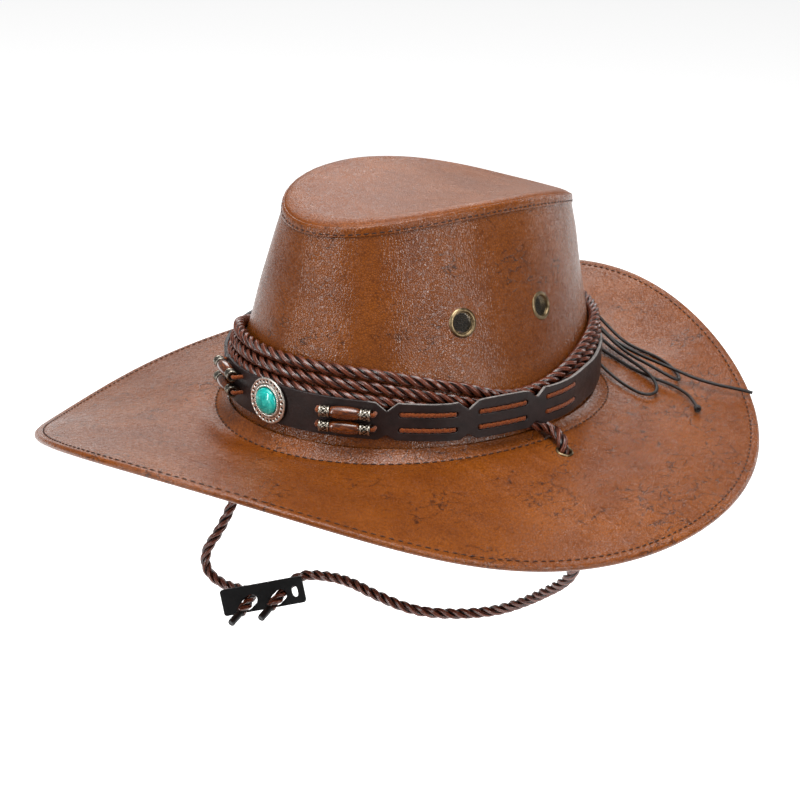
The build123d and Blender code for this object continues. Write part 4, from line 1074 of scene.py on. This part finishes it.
V, NR_ = [], None
for i in range(N_PHI):
    phi = PHIS[i]
    rr, zz, re, ze = brim_rows(i, 0, 0)
    r3 = PROFILES[i][3]
    sx, sy = math.sin(phi), -math.cos(phi)
    loop = []
    lump = []
    for r, z in zip(rr, zz):
        l = brim_lump(r * sx, r * sy, r, r3, re)
        lump.append(l)
        loop.append((r, z + l + groove(r, r3, re)))
    for a in (70, 50, 30, 10, -10, -30, -50, -70, -90):
        loop.append((re - LIP + LIP * math.cos(math.radians(a)), ze + LIP * math.sin(math.radians(a))))
    for k_ in (0.2, 0.5, 0.8):
        loop.append((re - LIP - 2.6 * k_, ze - LIP + 0.03))
    loop += [(re - 4.4, ze - LIP), (re - 4.4, ze - 0.95), (re - 3.0, ze - 0.9), (re - LIP, ze - 0.9), (re - 1.15, ze - 0.3), (re - LIP, ze + 0.55)]
    for k_ in range(len(rr) - 1, -1, -6):
        loop.append((rr[k_] if k_ else rr[0], zz[k_] + lump[k_] - 1.15))
    if (len(rr) - 1) % 6:
        loop.append((rr[0], zz[0] - 1.15))
    NR_ = len(loop)
    V += [(r * sx, r * sy, z) for r, z in loop]
F = grid_faces(N_PHI, NR_, True, True)
eyes = [EYES[1], EYES[-1]]
V, F = hole_snap(V, F, eyes, 4.15, 3.9)
bt = link_mesh("brim_top_leather", V, F, M["leather"], "hat")
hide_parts("brim_upper")

V = []
for i in range(N_PHI):
    phi = PHIS[i]
    pts_, re, ze, r3 = PROFILES[i]
    sx, sy = math.sin(phi), -math.cos(phi)
    f = SPLINES[i]
    rr = np.concatenate([np.linspace(pts_[0][0], r3, 12)[:-1], r3 + (re - 4.5 - r3) * np.linspace(0, 1, 46)])
    zz = f(rr)
    loop = []
    for r, z in zip(rr, zz):
        loop.append((r, z - BRIM_T + brim_lump(r * sx, r * sy, r, r3, re) - 0.6 * groove(r, r3, re)))
    for r, z in list(zip(rr, zz))[::-3]:
        loop.append((r, z - 2.42 + brim_lump(r * sx, r * sy, r, r3, re)))
    NU = len(loop)
    V += [(r * sx, r * sy, z) for r, z in loop]
F = grid_faces(N_PHI, NU, True, True, flip=True)
V, F = hole_snap(V, F, eyes, 4.15, 3.9)
bu = link_mesh("brim_under_leather", V, F, M["leather_under"], "hat")
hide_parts("brim_lower")


def brim_line(fr, top=True, n=720):
    """Stitch line on the brim at radius fr(i): points and normals."""
    pts, nrm = [], []
    for q in range(n):
        k = q * N_PHI / n
        i = int(k) % N_PHI; w = k - int(k); j = (i + 1) % N_PHI
        phi = TAU * q / n
        r = fr(i) * (1 - w) + fr(j) * w
        z = float(SPLINES[i](r)[0] * (1 - w) + SPLINES[j](r)[0] * w)
        re = PROFILES[i][1] * (1 - w) + PROFILES[j][1] * w
        r3 = PROFILES[i][3] * (1 - w) + PROFILES[j][3] * w
        x, y = r * math.sin(phi), -r * math.cos(phi)
        l = brim_lump(x, y, r, r3, re)
        slope = float((SPLINES[i](r + 0.5)[0] - SPLINES[i](r - 0.5)[0]))
        if top:
            pts.append((x, y, z + l + groove(r, r3, re) + 0.26)); nrm.append((-slope * math.sin(phi), slope * math.cos(phi), 1))
        else:
            pts.append((x, y, z + l - BRIM_T - 0.6 * groove(r, r3, re) - 0.05)); nrm.append((slope * math.sin(phi), -slope * math.cos(phi), -1))
    return pts, nrm


p_, n_ = brim_line(lambda i: PROFILES[i][3])
stitch_row("brim_ring_stitching", p_, n_, True, 4.3, 2.8, 0.38)
p_, n_ = brim_line(lambda i: PROFILES[i][1] - 4.6)
stitch_row("brim_edge_stitching", p_, n_, True, 4.3, 2.8, 0.36, seed=5)
p_, n_ = brim_line(lambda i: PROFILES[i][3], top=False)
stitch_row("brim_ring_stitching_under", p_, n_, True, 4.3, 3.0, 0.25, seed=6)
p_, n_ = brim_line(lambda i: PROFILES[i][1] - 5.4, top=False)
stitch_row("brim_edge_stitching_under", p_, n_, True, 4.3, 3.0, 0.25, seed=7)

# ------------------------------------------------------------------ vents and eyelets
soup, wires = Soup(), Soup()
for o, n in VENTS:
    prof = [(5.2, -3.4), (5.2, -0.4), (5.28, 0.35), (5.6, 0.95), (6.1, 1.12), (6.7, 0.98), (7.2, 0.62), (7.5, 0.2), (7.5, 0.05), (6.2, 0.0), (6.0, -0.4), (6.0, -3.4)]
    v, f, l = revolve(prof, 72, o, n, close=True)
    soup.add(v, f, 0)
    u, w, n2 = basis(n)
    # woven wire screen inside the barrel
    step = 0.92
    for fam in (0, 1):
        for q in range(-5, 6):
            c = q * step
            half = math.sqrt(max(0.0, 5.18 ** 2 - c * c))
            if half < 0.8:
                continue
            pts = []
            m_ = max(8, int(half * 2 / 0.23))
            for i in range(m_ + 1):
                a = -half + 2 * half * i / m_
                hgt = -0.42 + 0.13 * math.cos(math.pi * (a / step)) * (1 if (q + fam) % 2 else -1)
                pts.append(o + (u * a + w * c if fam == 0 else u * c + w * a) + n * hgt)
            Pn = np.array([tuple(p) for p in pts]); T_, N_, B_ = frames(Pn)
            V = []
            for i in range(len(Pn)):
                for j in range(5):
                    a = TAU * j / 5
                    V.append(Pn[i] + 0.15 * (N_[i] * math.cos(a) + B_[i] * math.sin(a)))
            wires.add(V, grid_faces(len(Pn), 5, False, True) + [tuple(range(5)), tuple(reversed(range((len(Pn) - 1) * 5, len(Pn) * 5)))])
    # solder ring that holds the screen
    ring = [(4.95, -0.7), (4.9, -0.4), (4.98, -0.15), (5.1, -0.08), (5.22, -0.15), (5.22, -0.7)]
    v, f, l = revolve(ring, 56, o, n, close=True)
    soup.add(v, f, 0)
soup.make("vent_eyelets_brass", M["brass"], "hat", slot="antique_brass", replaces=["vent_eyelets"])
wires.make("vent_screens_woven", M["mesh"], "hat", slot="dark_mesh", replaces=["vent_screens"])
soup = Soup()
for s_ in (1, -1):
    o, n = EYES[s_]
    prof = [(3.1, -4.4), (3.1, -0.2), (3.16, 0.4), (3.45, 0.92), (3.85, 1.06), (4.3, 0.92), (4.55, 0.55), (4.6, 0.15), (4.4, 0.02), (3.9, 0.0), (3.9, -4.4)]
    v, f, l = revolve(prof, 64, o, n, close=True)
    soup.add(v, f, 0)
soup.make("chin_eyelets_brass", M["brass"], "hat", slot="antique_brass", replaces=["chin_eyelets"])


# ------------------------------------------------------------------ hat band
NS = 1440
TS = [math.radians(-180 + 360 * k / NS) for k in range(NS + 1)]
ARC = [0.0]
for a, b in zip(TS, TS[1:]):
    p, q = ring_pt(a, band_off(a) + BAND_T), ring_pt(b, band_off(b) + BAND_T)
    ARC.append(ARC[-1] + math.hypot(q[0] - p[0], q[1] - p[1]))


def arc_of(deg):
    k = (deg + 180) / 360 * NS
    i = min(NS - 1, int(k))
    return ARC[i] + (ARC[i + 1] - ARC[i]) * (k - i)


def t_of(s):
    s = max(ARC[0], min(ARC[-1], s))
    i = int(np.searchsorted(ARC, s)) - 1
    i = max(0, min(NS - 1, i))
    return TS[i] + (TS[i + 1] - TS[i]) * (s - ARC[i]) / (ARC[i + 1] - ARC[i])


def on_band(s, z, o):
    """o = distance outward from the band's outer face."""
    t = t_of(s)
    return Vector((*ring_pt(t, band_off(t) + BAND_T + o), z))


LINKS = [(51.3, 29.5), (72.8, 29.5), (94.0, 27.0), (-46.0, 29.0), (-68.0, 29.0), (-89.5, 27.0)]
NOTCHES = [39.8, 62.3, 83.8, -34.7, -57.0, -78.8]
BEADS = {"left_front_upper": (22.0, 34.0, 22.0), "left_front_lower": (22.0, 34.0, 14.6), "right_front_upper": (-28.5, -16.5, 24.6), "right_front_lower": (-28.5, -16.5, 16.4)}


def strand_frame(spec):
    a, b, z = spec
    p, q = Vector((*ring_pt(math.radians(a), 7.4), z)), Vector((*ring_pt(math.radians(b), 7.4), z))
    return (p + q) / 2, (q - p).normalized()


s0, s1 = arc_of(-177.0), arc_of(177.0)
y_of = lambda s: ring_pt(t_of(s), band_off(t_of(s)) + BAND_T)[1]
cuts = []
for deg in NOTCHES:
    cuts.append(arc_of(deg))
top, bot = [], []
marks = sorted([s0 + (s1 - s0) * k / 230 for k in range(231)])


def edge_line(high):
    pts = []
    for s in marks:
        if all(abs(s - c) > 6.2 for c in cuts):
            pts.append((s, (band_high if high else band_low)(y_of(s))))
    for c in cuts:
        zc = (band_high if high else band_low)(y_of(c))
        k = -1 if high else 1
        hw, dp = (5.2, 4.2) if high else (4.0, 2.6)
        pts += [(c - hw - 0.6, zc), (c - hw, zc + k * 0.25), (c - 0.4, zc + k * (dp - 0.1)), (c, zc + k * dp), (c + 0.4, zc + k * (dp - 0.1)), (c + hw, zc + k * 0.25), (c + hw + 0.6, zc)]
    return sorted(pts)


outline = edge_line(False) + edge_line(True)[::-1]


def slot_loop(sc, zc, length, height, n=8):
    r = height / 2
    pts = []
    for k in range(n + 1):
        a = -math.pi / 2 + math.pi * k / n
        pts.append((sc + length / 2 - r + r * math.cos(a), zc + r * math.sin(a)))
    for k in range(1, 4):
        pts.append((sc + (length / 2 - r) * (1 - k / 2), zc + r)) if k < 4 and abs(1 - k / 2) < 1 else None
    for k in range(n + 1):
        a = math.pi / 2 + math.pi * k / n
        pts.append((sc - length / 2 + r + r * math.cos(a), zc + r * math.sin(a)))
    return [p for p in pts if p]


holes = []
for deg, length in LINKS:
    for z in (21.4, 13.4):
        holes.append(slot_loop(arc_of(deg), z, length, 2.8))
for spec in BEADS.values():
    for deg in (spec[0] - 1.6, spec[1] + 1.6):
        holes.append([(arc_of(deg) + 1.15 * math.cos(TAU * k / 12), spec[2] + 1.15 * math.sin(TAU * k / 12)) for k in range(12)])
for deg in (174.0, -174.0):
    holes.append([(arc_of(deg) + 1.4 * math.cos(TAU * k / 12), 22.0 + 1.4 * math.sin(TAU * k / 12)) for k in range(12)])


def flat_plate(loops, thick, bevel, res=2):
    """Filled 2D outline with holes, extruded, with rounded edges; returns a bmesh in mm."""
    cu = bpy.data.curves.new("plate", "CURVE")
    cu.dimensions = "2D"
    cu.fill_mode = "BOTH"
    cu.extrude = thick / 2 - bevel
    cu.bevel_depth = bevel
    cu.bevel_resolution = res
    cu.offset = -bevel
    for lp in loops:
        sp = cu.splines.new("POLY")
        sp.points.add(len(lp) - 1)
        for p, c in zip(sp.points, lp):
            p.co = (c[0], c[1], 0, 1)
        sp.use_cyclic_u = True
    ob = bpy.data.objects.new("plate", cu)
    me = bpy.data.meshes.new_from_object(ob)
    bm = bmesh.new(); bm.from_mesh(me)
    bpy.data.objects.remove(ob); bpy.data.curves.remove(cu); bpy.data.meshes.remove(me)
    bmesh.ops.remove_doubles(bm, verts=bm.verts, dist=0.004)
    return bm


bm = flat_plate([outline] + holes, BAND_T, 0.28)
k = s0 + 1.9
while k < s1:
    bmesh.ops.bisect_plane(bm, geom=bm.verts[:] + bm.edges[:] + bm.faces[:], plane_co=(k, 0, 0), plane_no=(1, 0, 0), dist=0.002)
    k += 2.1
for zz in (12.0, 17.4, 23.0):
    bmesh.ops.bisect_plane(bm, geom=bm.verts[:] + bm.edges[:] + bm.faces[:], plane_co=(0, zz, 0), plane_no=(0, 1, 0), dist=0.002)
bm.normal_update()
mi = [1 if abs(f.normal.z) < 0.55 else 0 for f in bm.faces]
# light cut edge on the upper edge and its notches from 34° on; the lower edge, the slot edges and the side faces before
# 34° get the black leather
for i, f in enumerate(bm.faces):
    if mi[i]:
        c = f.calc_center_median()
        mid_z = (band_low(y_of(c.x)) + band_high(y_of(c.x))) / 2
        inside = band_low(y_of(c.x)) + 4.2 < c.y < band_high(y_of(c.x)) - 4.0
        if inside or c.x < arc_of(34.0) or c.y < mid_z:
            mi[i] = 0
V = []
for v in bm.verts:
    V.append(on_band(v.co.x, v.co.y, v.co.z - BAND_T / 2))
F = [tuple(l.vert.index for l in f.loops) for f in bm.faces]
bm.verts.index_update()
bm.free()
band = link_mesh("hat_band_strap", V, F, [M["black_leather"], M["cut_edge"]], "hat", smooth=True, index=mi)
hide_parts("hat_band")
band.data.set_sharp_from_angle(angle=math.radians(40))


def suede_lace(soup, deg, length, z, seed):
    rnd = random.Random(seed)
    sc = arc_of(deg)
    half = length / 2 - 0.5
    n = 72
    V = []
    for i in range(n + 1):
        f = i / n
        s = sc - half + 2 * half * f
        dive = max(0.0, (abs(2 * f - 1) - 0.93) / 0.07)
        o = -0.25 - 1.5 * dive ** 1.5
        c = on_band(s, z + 0.08 * math.sin(s * 1.3 + seed), o)
        e = on_band(s + 0.2, z, o) - on_band(s - 0.2, z, o)
        e.normalize()
        out = Vector((0, 0, 1)).cross(e) * -1
        if out.dot(Vector((c.x, c.y, 0))) < 0:
            out = -out
        tw = s * 2.4
        for j in range(14):
            a = TAU * j / 14
            r = 1.0 + 0.1 * math.cos(2 * a - tw) + rnd.uniform(-0.07, 0.07)
            V.append(c + Vector((0, 0, 1)) * (math.sin(a) * 1.08 * r) + out * (math.cos(a) * 0.6 * r))
    F = grid_faces(n + 1, 14, False, True) + [tuple(range(14)), tuple(reversed(range(n * 14, (n + 1) * 14)))]
    soup.add(V, F)


for name, z, node in (("suede_lace_upper", 21.4, "upper_lace"), ("suede_lace_lower", 13.4, "lower_lace")):
    soup = Soup()
    for q, (deg, length) in enumerate(LINKS):
        suede_lace(soup, deg, length, z, q + int(z))
    # the run behind the strap between the slots
    for lo, hi in ((42.5, 102.5), (-97.5, -37.5)):
        n = 120
        V = []
        for i in range(n + 1):
            sdeg = lo + (hi - lo) * i / n
            t = math.radians(sdeg)
            for dz, do in ((-1.4, -0.1), (-1.4, -0.5), (1.4, -0.5), (1.4, -0.1)):
                V.append((*ring_pt(t, band_off(t) + do), z + dz))
        F = grid_faces(n + 1, 4, False, True) + [(0, 1, 2, 3), (4 * n + 3, 4 * n + 2, 4 * n + 1, 4 * n)]
        soup.add(V, F)
    soup.make(name, M["suede"], "hat", slot="brown_suede", replaces=[node])

# beads, spacers and their laces
laces = Soup()
for q, (key, spec) in enumerate(BEADS.items()):
    o, ax = strand_frame(spec)
    inward = Vector((o.x, o.y, 0)); inward = -(inward - ax * inward.dot(ax)).normalized()
    prof = [(1.06, -7.45), (1.7, -7.5), (2.3, -7.38), (2.62, -6.9), (2.95, -5.6), (3.2, -3.8), (3.36, -1.8), (3.4, 0), (3.36, 1.8), (3.2, 3.8), (2.95, 5.6), (2.62, 6.9), (2.3, 7.38), (1.7, 7.5), (1.06, 7.45)]
    soup = Soup()
    ph = 1.7 * q
    v, f, l = revolve(prof, 56, o, ax, close=True, bend=lambda a, j, r, h: (r * (0.984 + 0.004 * math.sin(2 * a + ph)) if r > 1.1 else r, h))
    l = [(a + 13 * q, b, c) for a, b, c in l]
    soup.add(v, f, 0, None, l)
    soup.make("bead_wood_" + key, M["wood"], "beads_" + key, slot="dark_wood", replaces=["bead_" + key])
    soup = Soup()
    for s_ in (-1, 1):
        h0 = 7.55
        hs = [0.0, 0.12, 0.35, 0.75, 1.0, 1.15, 1.4, 1.75, 2.1, 2.45, 2.8, 3.15, 3.5, 3.85, 4.05, 4.2, 4.45, 4.85, 5.08, 5.2]

        def shape(a, j, r, h, hs=hs):
            return (r, h)
        prof, lift = [], []
        u, v_, n = basis(ax)
        seg = 84
        V, A = [], []
        for i in range(seg):
            a = TAU * i / seg
            d = u * math.cos(a) + v_ * math.sin(a)
            ring = [(1.06, 0.0, 0.2)]
            for h in hs:
                if h < 0.1 or h > 5.1:
                    r, lf = 2.6, 0.7
                elif h <= 1.0 or h >= 4.2:
                    r, lf = 2.9, 1.0
                elif h <= 1.2 or h >= 4.0:
                    r, lf = 2.5, 0.0
                else:
                    w = (h - 2.6) / 1.3
                    zig = abs(((a / TAU * 8 + w * 0.5) % 1.0) - 0.5) * 2
                    zig2 = abs(((a / TAU * 8 - w * 0.5) % 1.0) - 0.5) * 2
                    cut = min(zig, zig2)
                    lf = max(0.0, min(1.0, (cut - 0.12) / 0.22))
                    r = 2.62 + 0.22 * lf
                ring.append((r, h, lf))
            ring.append((1.06, 5.2, 0.2))
            for r, h, lf in ring:
                V.append(o + d * r + ax * (s_ * (h0 + h)))
                A.append(lf)
        soup.add(V, grid_faces(seg, len(hs) + 2, True, True, flip=(s_ < 0)), 0, A)
    soup.make("bead_spacers_" + key, M["silver_dark"], "beads_" + key, slot="antique_silver", replaces=["spacers_" + key])
    # suede lace: out of the strap, through the strand, back into the strap
    ctrl = [o - ax * 14.2 + inward * 6.0, o - ax * 14.25 + inward * 1.6, o - ax * 13.9 + inward * 0.1, o - ax * 12.6, o, o + ax * 12.6, o + ax * 13.9 + inward * 0.1, o + ax * 14.25 + inward * 1.6, o + ax * 14.2 + inward * 6.0]
    P, s = spline_points("lace", [tuple(c) for c in ctrl], 0.5)
    T_, N_, B_ = frames(P)
    rnd = random.Random(40 + q)
    V = []
    for i in range(len(P)):
        outside = abs((Vector(P[i]) - o).dot(ax)) > 12.9
        for j in range(12):
            a = TAU * j / 12
            r = (1.0 + (rnd.uniform(-0.05, 0.12) if outside else -0.02))
            V.append(P[i] + r * (N_[i] * math.cos(a) + B_[i] * math.sin(a)))
    laces.add(V, grid_faces(len(P), 12, False, True) + [tuple(range(12)), tuple(reversed(range((len(P) - 1) * 12, len(P) * 12)))])
laces.make("bead_laces_suede", M["suede"], "hat", slot="brown_suede", replaces=["bead_laces"])

# ------------------------------------------------------------------ concho
t1 = math.radians(1.0)
CO = Vector((*ring_pt(t1, band_off(t1) + BAND_T), 19.4))
CN = Vector((0.03, -1.0, 0.0)).normalized()
u, v_, n = basis(CN)
soup = Soup()
seg = 364
rad = [6.75, 6.95, 7.3, 7.8, 8.25, 8.6, 8.72, 8.95, 9.2, 9.45, 9.7, 9.95, 10.2, 10.45, 10.7, 10.95, 11.15, 11.4, 11.62, 11.75, 11.72]
V, A = [], []
for i in range(seg):
    a = TAU * i / seg
    d = u * math.cos(a) + v_ * math.sin(a)
    ring = [(6.75, 0.15, 0.1)]
    for r in rad:
        if r <= 8.6:
            w = (r - 6.75) / 1.85
            rope = 0.5 + 0.5 * math.cos(26 * 2 * a + 5.0 * w)
            h = 1.55 + 0.95 * math.sin(math.pi * min(1, max(0, w))) * (0.72 + 0.28 * rope)
            lf = 0.25 + 0.75 * math.sin(math.pi * min(1, max(0, w))) * (0.35 + 0.65 * rope)
        elif r <= 8.72:
            h, lf = 1.42, 0.05
        elif r >= 11.15:
            w = (r - 11.15) / 0.6
            h, lf = 1.62 - 0.55 * w * w, 0.95 - 0.5 * w * w
        else:
            m_ = (a / TAU * 26) % 1.0 - 0.5
            dd = math.hypot(m_ * TAU * 10.05 / 26, r - 10.05)
            cup = max(0.0, 1 - (dd / 0.7) ** 2)
            h, lf = 1.5 - 0.65 * cup, 0.95 - 2.2 * cup
        ring.append((r, h, lf))
    ring += [(11.72, 0.5, 0.4), (11.5, 0.2, 0.3), (6.75, 0.15, 0.1)]
    for r, h, lf in ring:
        V.append(CO + d * r + n * h); A.append(max(0.0, lf))
soup.add(V, grid_faces(seg, len(rad) + 4, True, True), 0, A)
V2, F2, l2 = revolve([(0.0, 0.2), (7.2, 0.2), (7.2, 1.45), (0.0, 1.45)], 64, CO, n)
soup.add(V2, F2, 0, [0.4] * len(V2))
soup.make("concho_plate_engraved", M["silver"], "hat", slot="antique_silver", replaces=["concho_plate"])
soup = Soup()
prof = [(0.0, 1.5), (6.7, 1.5), (6.72, 2.2)] + [(6.72 * math.cos(a), 2.2 + 2.9 * math.sin(a)) for a in [math.pi / 2 * k / 14 for k in range(1, 14)]] + [(0.0, 5.1)]
v, f, l = revolve(prof, 72, CO, n)
soup.add(v, f, 0, None, l)
soup.make("concho_stone_cabochon", M["turquoise"], "hat", slot="turquoise", replaces=["concho_stone"])

# ------------------------------------------------------------------ slider
bar = []
r_ = 1.6
L2, H2 = 23.5, 7.5
for (sx, sy, a0) in ((1, -1, -90), (1, 1, 0), (-1, 1, 90), (-1, -1, 180)):
    for k in range(7):
        a = math.radians(a0 + 90 * k / 6)
        bar.append((sx * (L2 - r_) + r_ * math.cos(a), sy * (H2 - r_) + r_ * math.sin(a)))


def oval(c, rx, ry, n=36, p=2.4):
    out = []
    for k in range(n):
        a = TAU * k / n
        cs, sn = math.cos(a), math.sin(a)
        out.append((c[0] + rx * math.copysign(abs(cs) ** (2 / p), cs), c[1] + ry * math.copysign(abs(sn) ** (2 / p), sn)))
    return out


def stadium(c, length, height, deg, n=14):
    out = []
    r, h, q = height / 2, length / 2 - height / 2, math.radians(deg)
    for s_, a0 in ((1, -90), (-1, 90)):
        for k in range(n + 1):
            a = math.radians(a0 + 180 * k / n)
            x, y = s_ * h + r * math.cos(a), r * math.sin(a)
            out.append((c[0] + x * math.cos(q) - y * math.sin(q), c[1] + x * math.sin(q) + y * math.cos(q)))
    return out


loops = [bar, stadium((-8.2, -2.0), 10.4, 6.5, 36), stadium((8.7, -2.2), 10.4, 6.5, 36), oval((18.2, -0.6), 1.7, 3.2)]
bm = flat_plate(loops, 2.5, 0.45, 3)
for k in range(-22, 23, 2):
    bmesh.ops.bisect_plane(bm, geom=bm.verts[:] + bm.edges[:] + bm.faces[:], plane_co=(k + 0.13, 0, 0), plane_no=(1, 0, 0), dist=0.002)
for k in (-5, -3, -1, 1, 3, 5):
    bmesh.ops.bisect_plane(bm, geom=bm.verts[:] + bm.edges[:] + bm.faces[:], plane_co=(0, k + 0.11, 0), plane_no=(0, 1, 0), dist=0.002)
V = []
for v in bm.verts:
    x, y, z = v.co
    w = 0.18 * bump_noise(x, y, 0, 9.0, 3.3)
    V.append(T_O + T_U * x + T_W * y + T_N * (z + w))
bm.verts.index_update()
F = [tuple(l.vert.index for l in f.loops) for f in bm.faces]
bm.free()
sl = link_mesh("chin_slider_leather", V, F, M["toggle_leather"], "chin_slider")
sl.data.set_sharp_from_angle(angle=math.radians(50))
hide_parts("chin_toggle")

# ------------------------------------------------------------------ materials on the carried-over solids
for node, mat in {"vent_washers": "brass", "chin_eyelet_washers": "brass", "concho_screw": "silver", "brim_stiffener": "felt", "brim_edge_wire": "wire"}.items():
    ob = bpy.data.objects.get(node)
    if ob:
        for sl_ in ob.material_slots:
            sl_.material = M[mat]

# ------------------------------------------------------------------ stage and light
me = bpy.data.meshes.new("floor")
R = 9.0
ahead = Vector((-math.sin(AZ), math.cos(AZ), 0))
me.from_pydata([tuple(ahead * a + right * b + Vector((0, 0, -0.42))) for a, b in ((-0.55, -2.2), (-0.55, 2.2), (R, 3.6), (R, -3.6))], [], [(0, 1, 2, 3)])
floor = bpy.data.objects.new("floor", me)
bpy.context.scene.collection.objects.link(floor)
m, nt, b = new_mat("floor_white")
b.inputs["Base Color"].default_value = (0.93, 0.93, 0.93, 1)
b.inputs["Roughness"].default_value = 0.9
b.inputs["Specular IOR Level"].default_value = 0.1
b.inputs["Emission Color"].default_value = (1, 1, 1, 1)
b.inputs["Emission Strength"].default_value = 0.62
me.materials.append(m)

world = bpy.context.scene.world or bpy.data.worlds.new("world")
bpy.context.scene.world = world
world.use_nodes = True
bg = next(n for n in world.node_tree.nodes if n.type == "BACKGROUND")
bg.inputs["Color"].default_value = (1, 1, 1, 1)
bg.inputs["Strength"].default_value = 0.2


def area(name, loc, target, size, power, size_y=None):
    d = bpy.data.lights.new(name, "AREA")
    d.shape = "RECTANGLE"
    d.size = size
    d.size_y = size_y or size
    d.energy = power
    ob = bpy.data.objects.new(name, d)
    ob.location = loc
    ob.rotation_euler = (Vector(target) - Vector(loc)).to_track_quat("-Z", "Y").to_euler()
    bpy.context.scene.collection.objects.link(ob)
    return ob


def at_angle(az, el, d):
    a, e = math.radians(az), math.radians(el)
    return (d * math.sin(a) * math.cos(e), -d * math.cos(a) * math.cos(e), d * math.sin(e))


area("strip_front", at_angle(-10, 15, 1.7), (0, 0, 0.06), 0.22, 9.5, 1.1)
area("strip_right", at_angle(86, 16, 1.7), (0, 0, 0.06), 0.22, 10.5, 1.1)
area("strip_back", at_angle(178, 14, 1.8), (0, 0, 0.03), 0.35, 4, 0.9)
area("back_left", at_angle(-133, 30, 1.9), (0, 0, 0), 1.2, 8, 0.7)
area("top_soft", (0.25, -0.35, 1.7), (0, 0, 0), 0.9, 18)
area("floor_wash", (0.0, -0.5, 2.6), (0, 0, -0.42), 3.0, 52)
bpy.context.scene.view_settings.view_transform = "Standard"
bpy.context.scene.view_settings.look = "None"
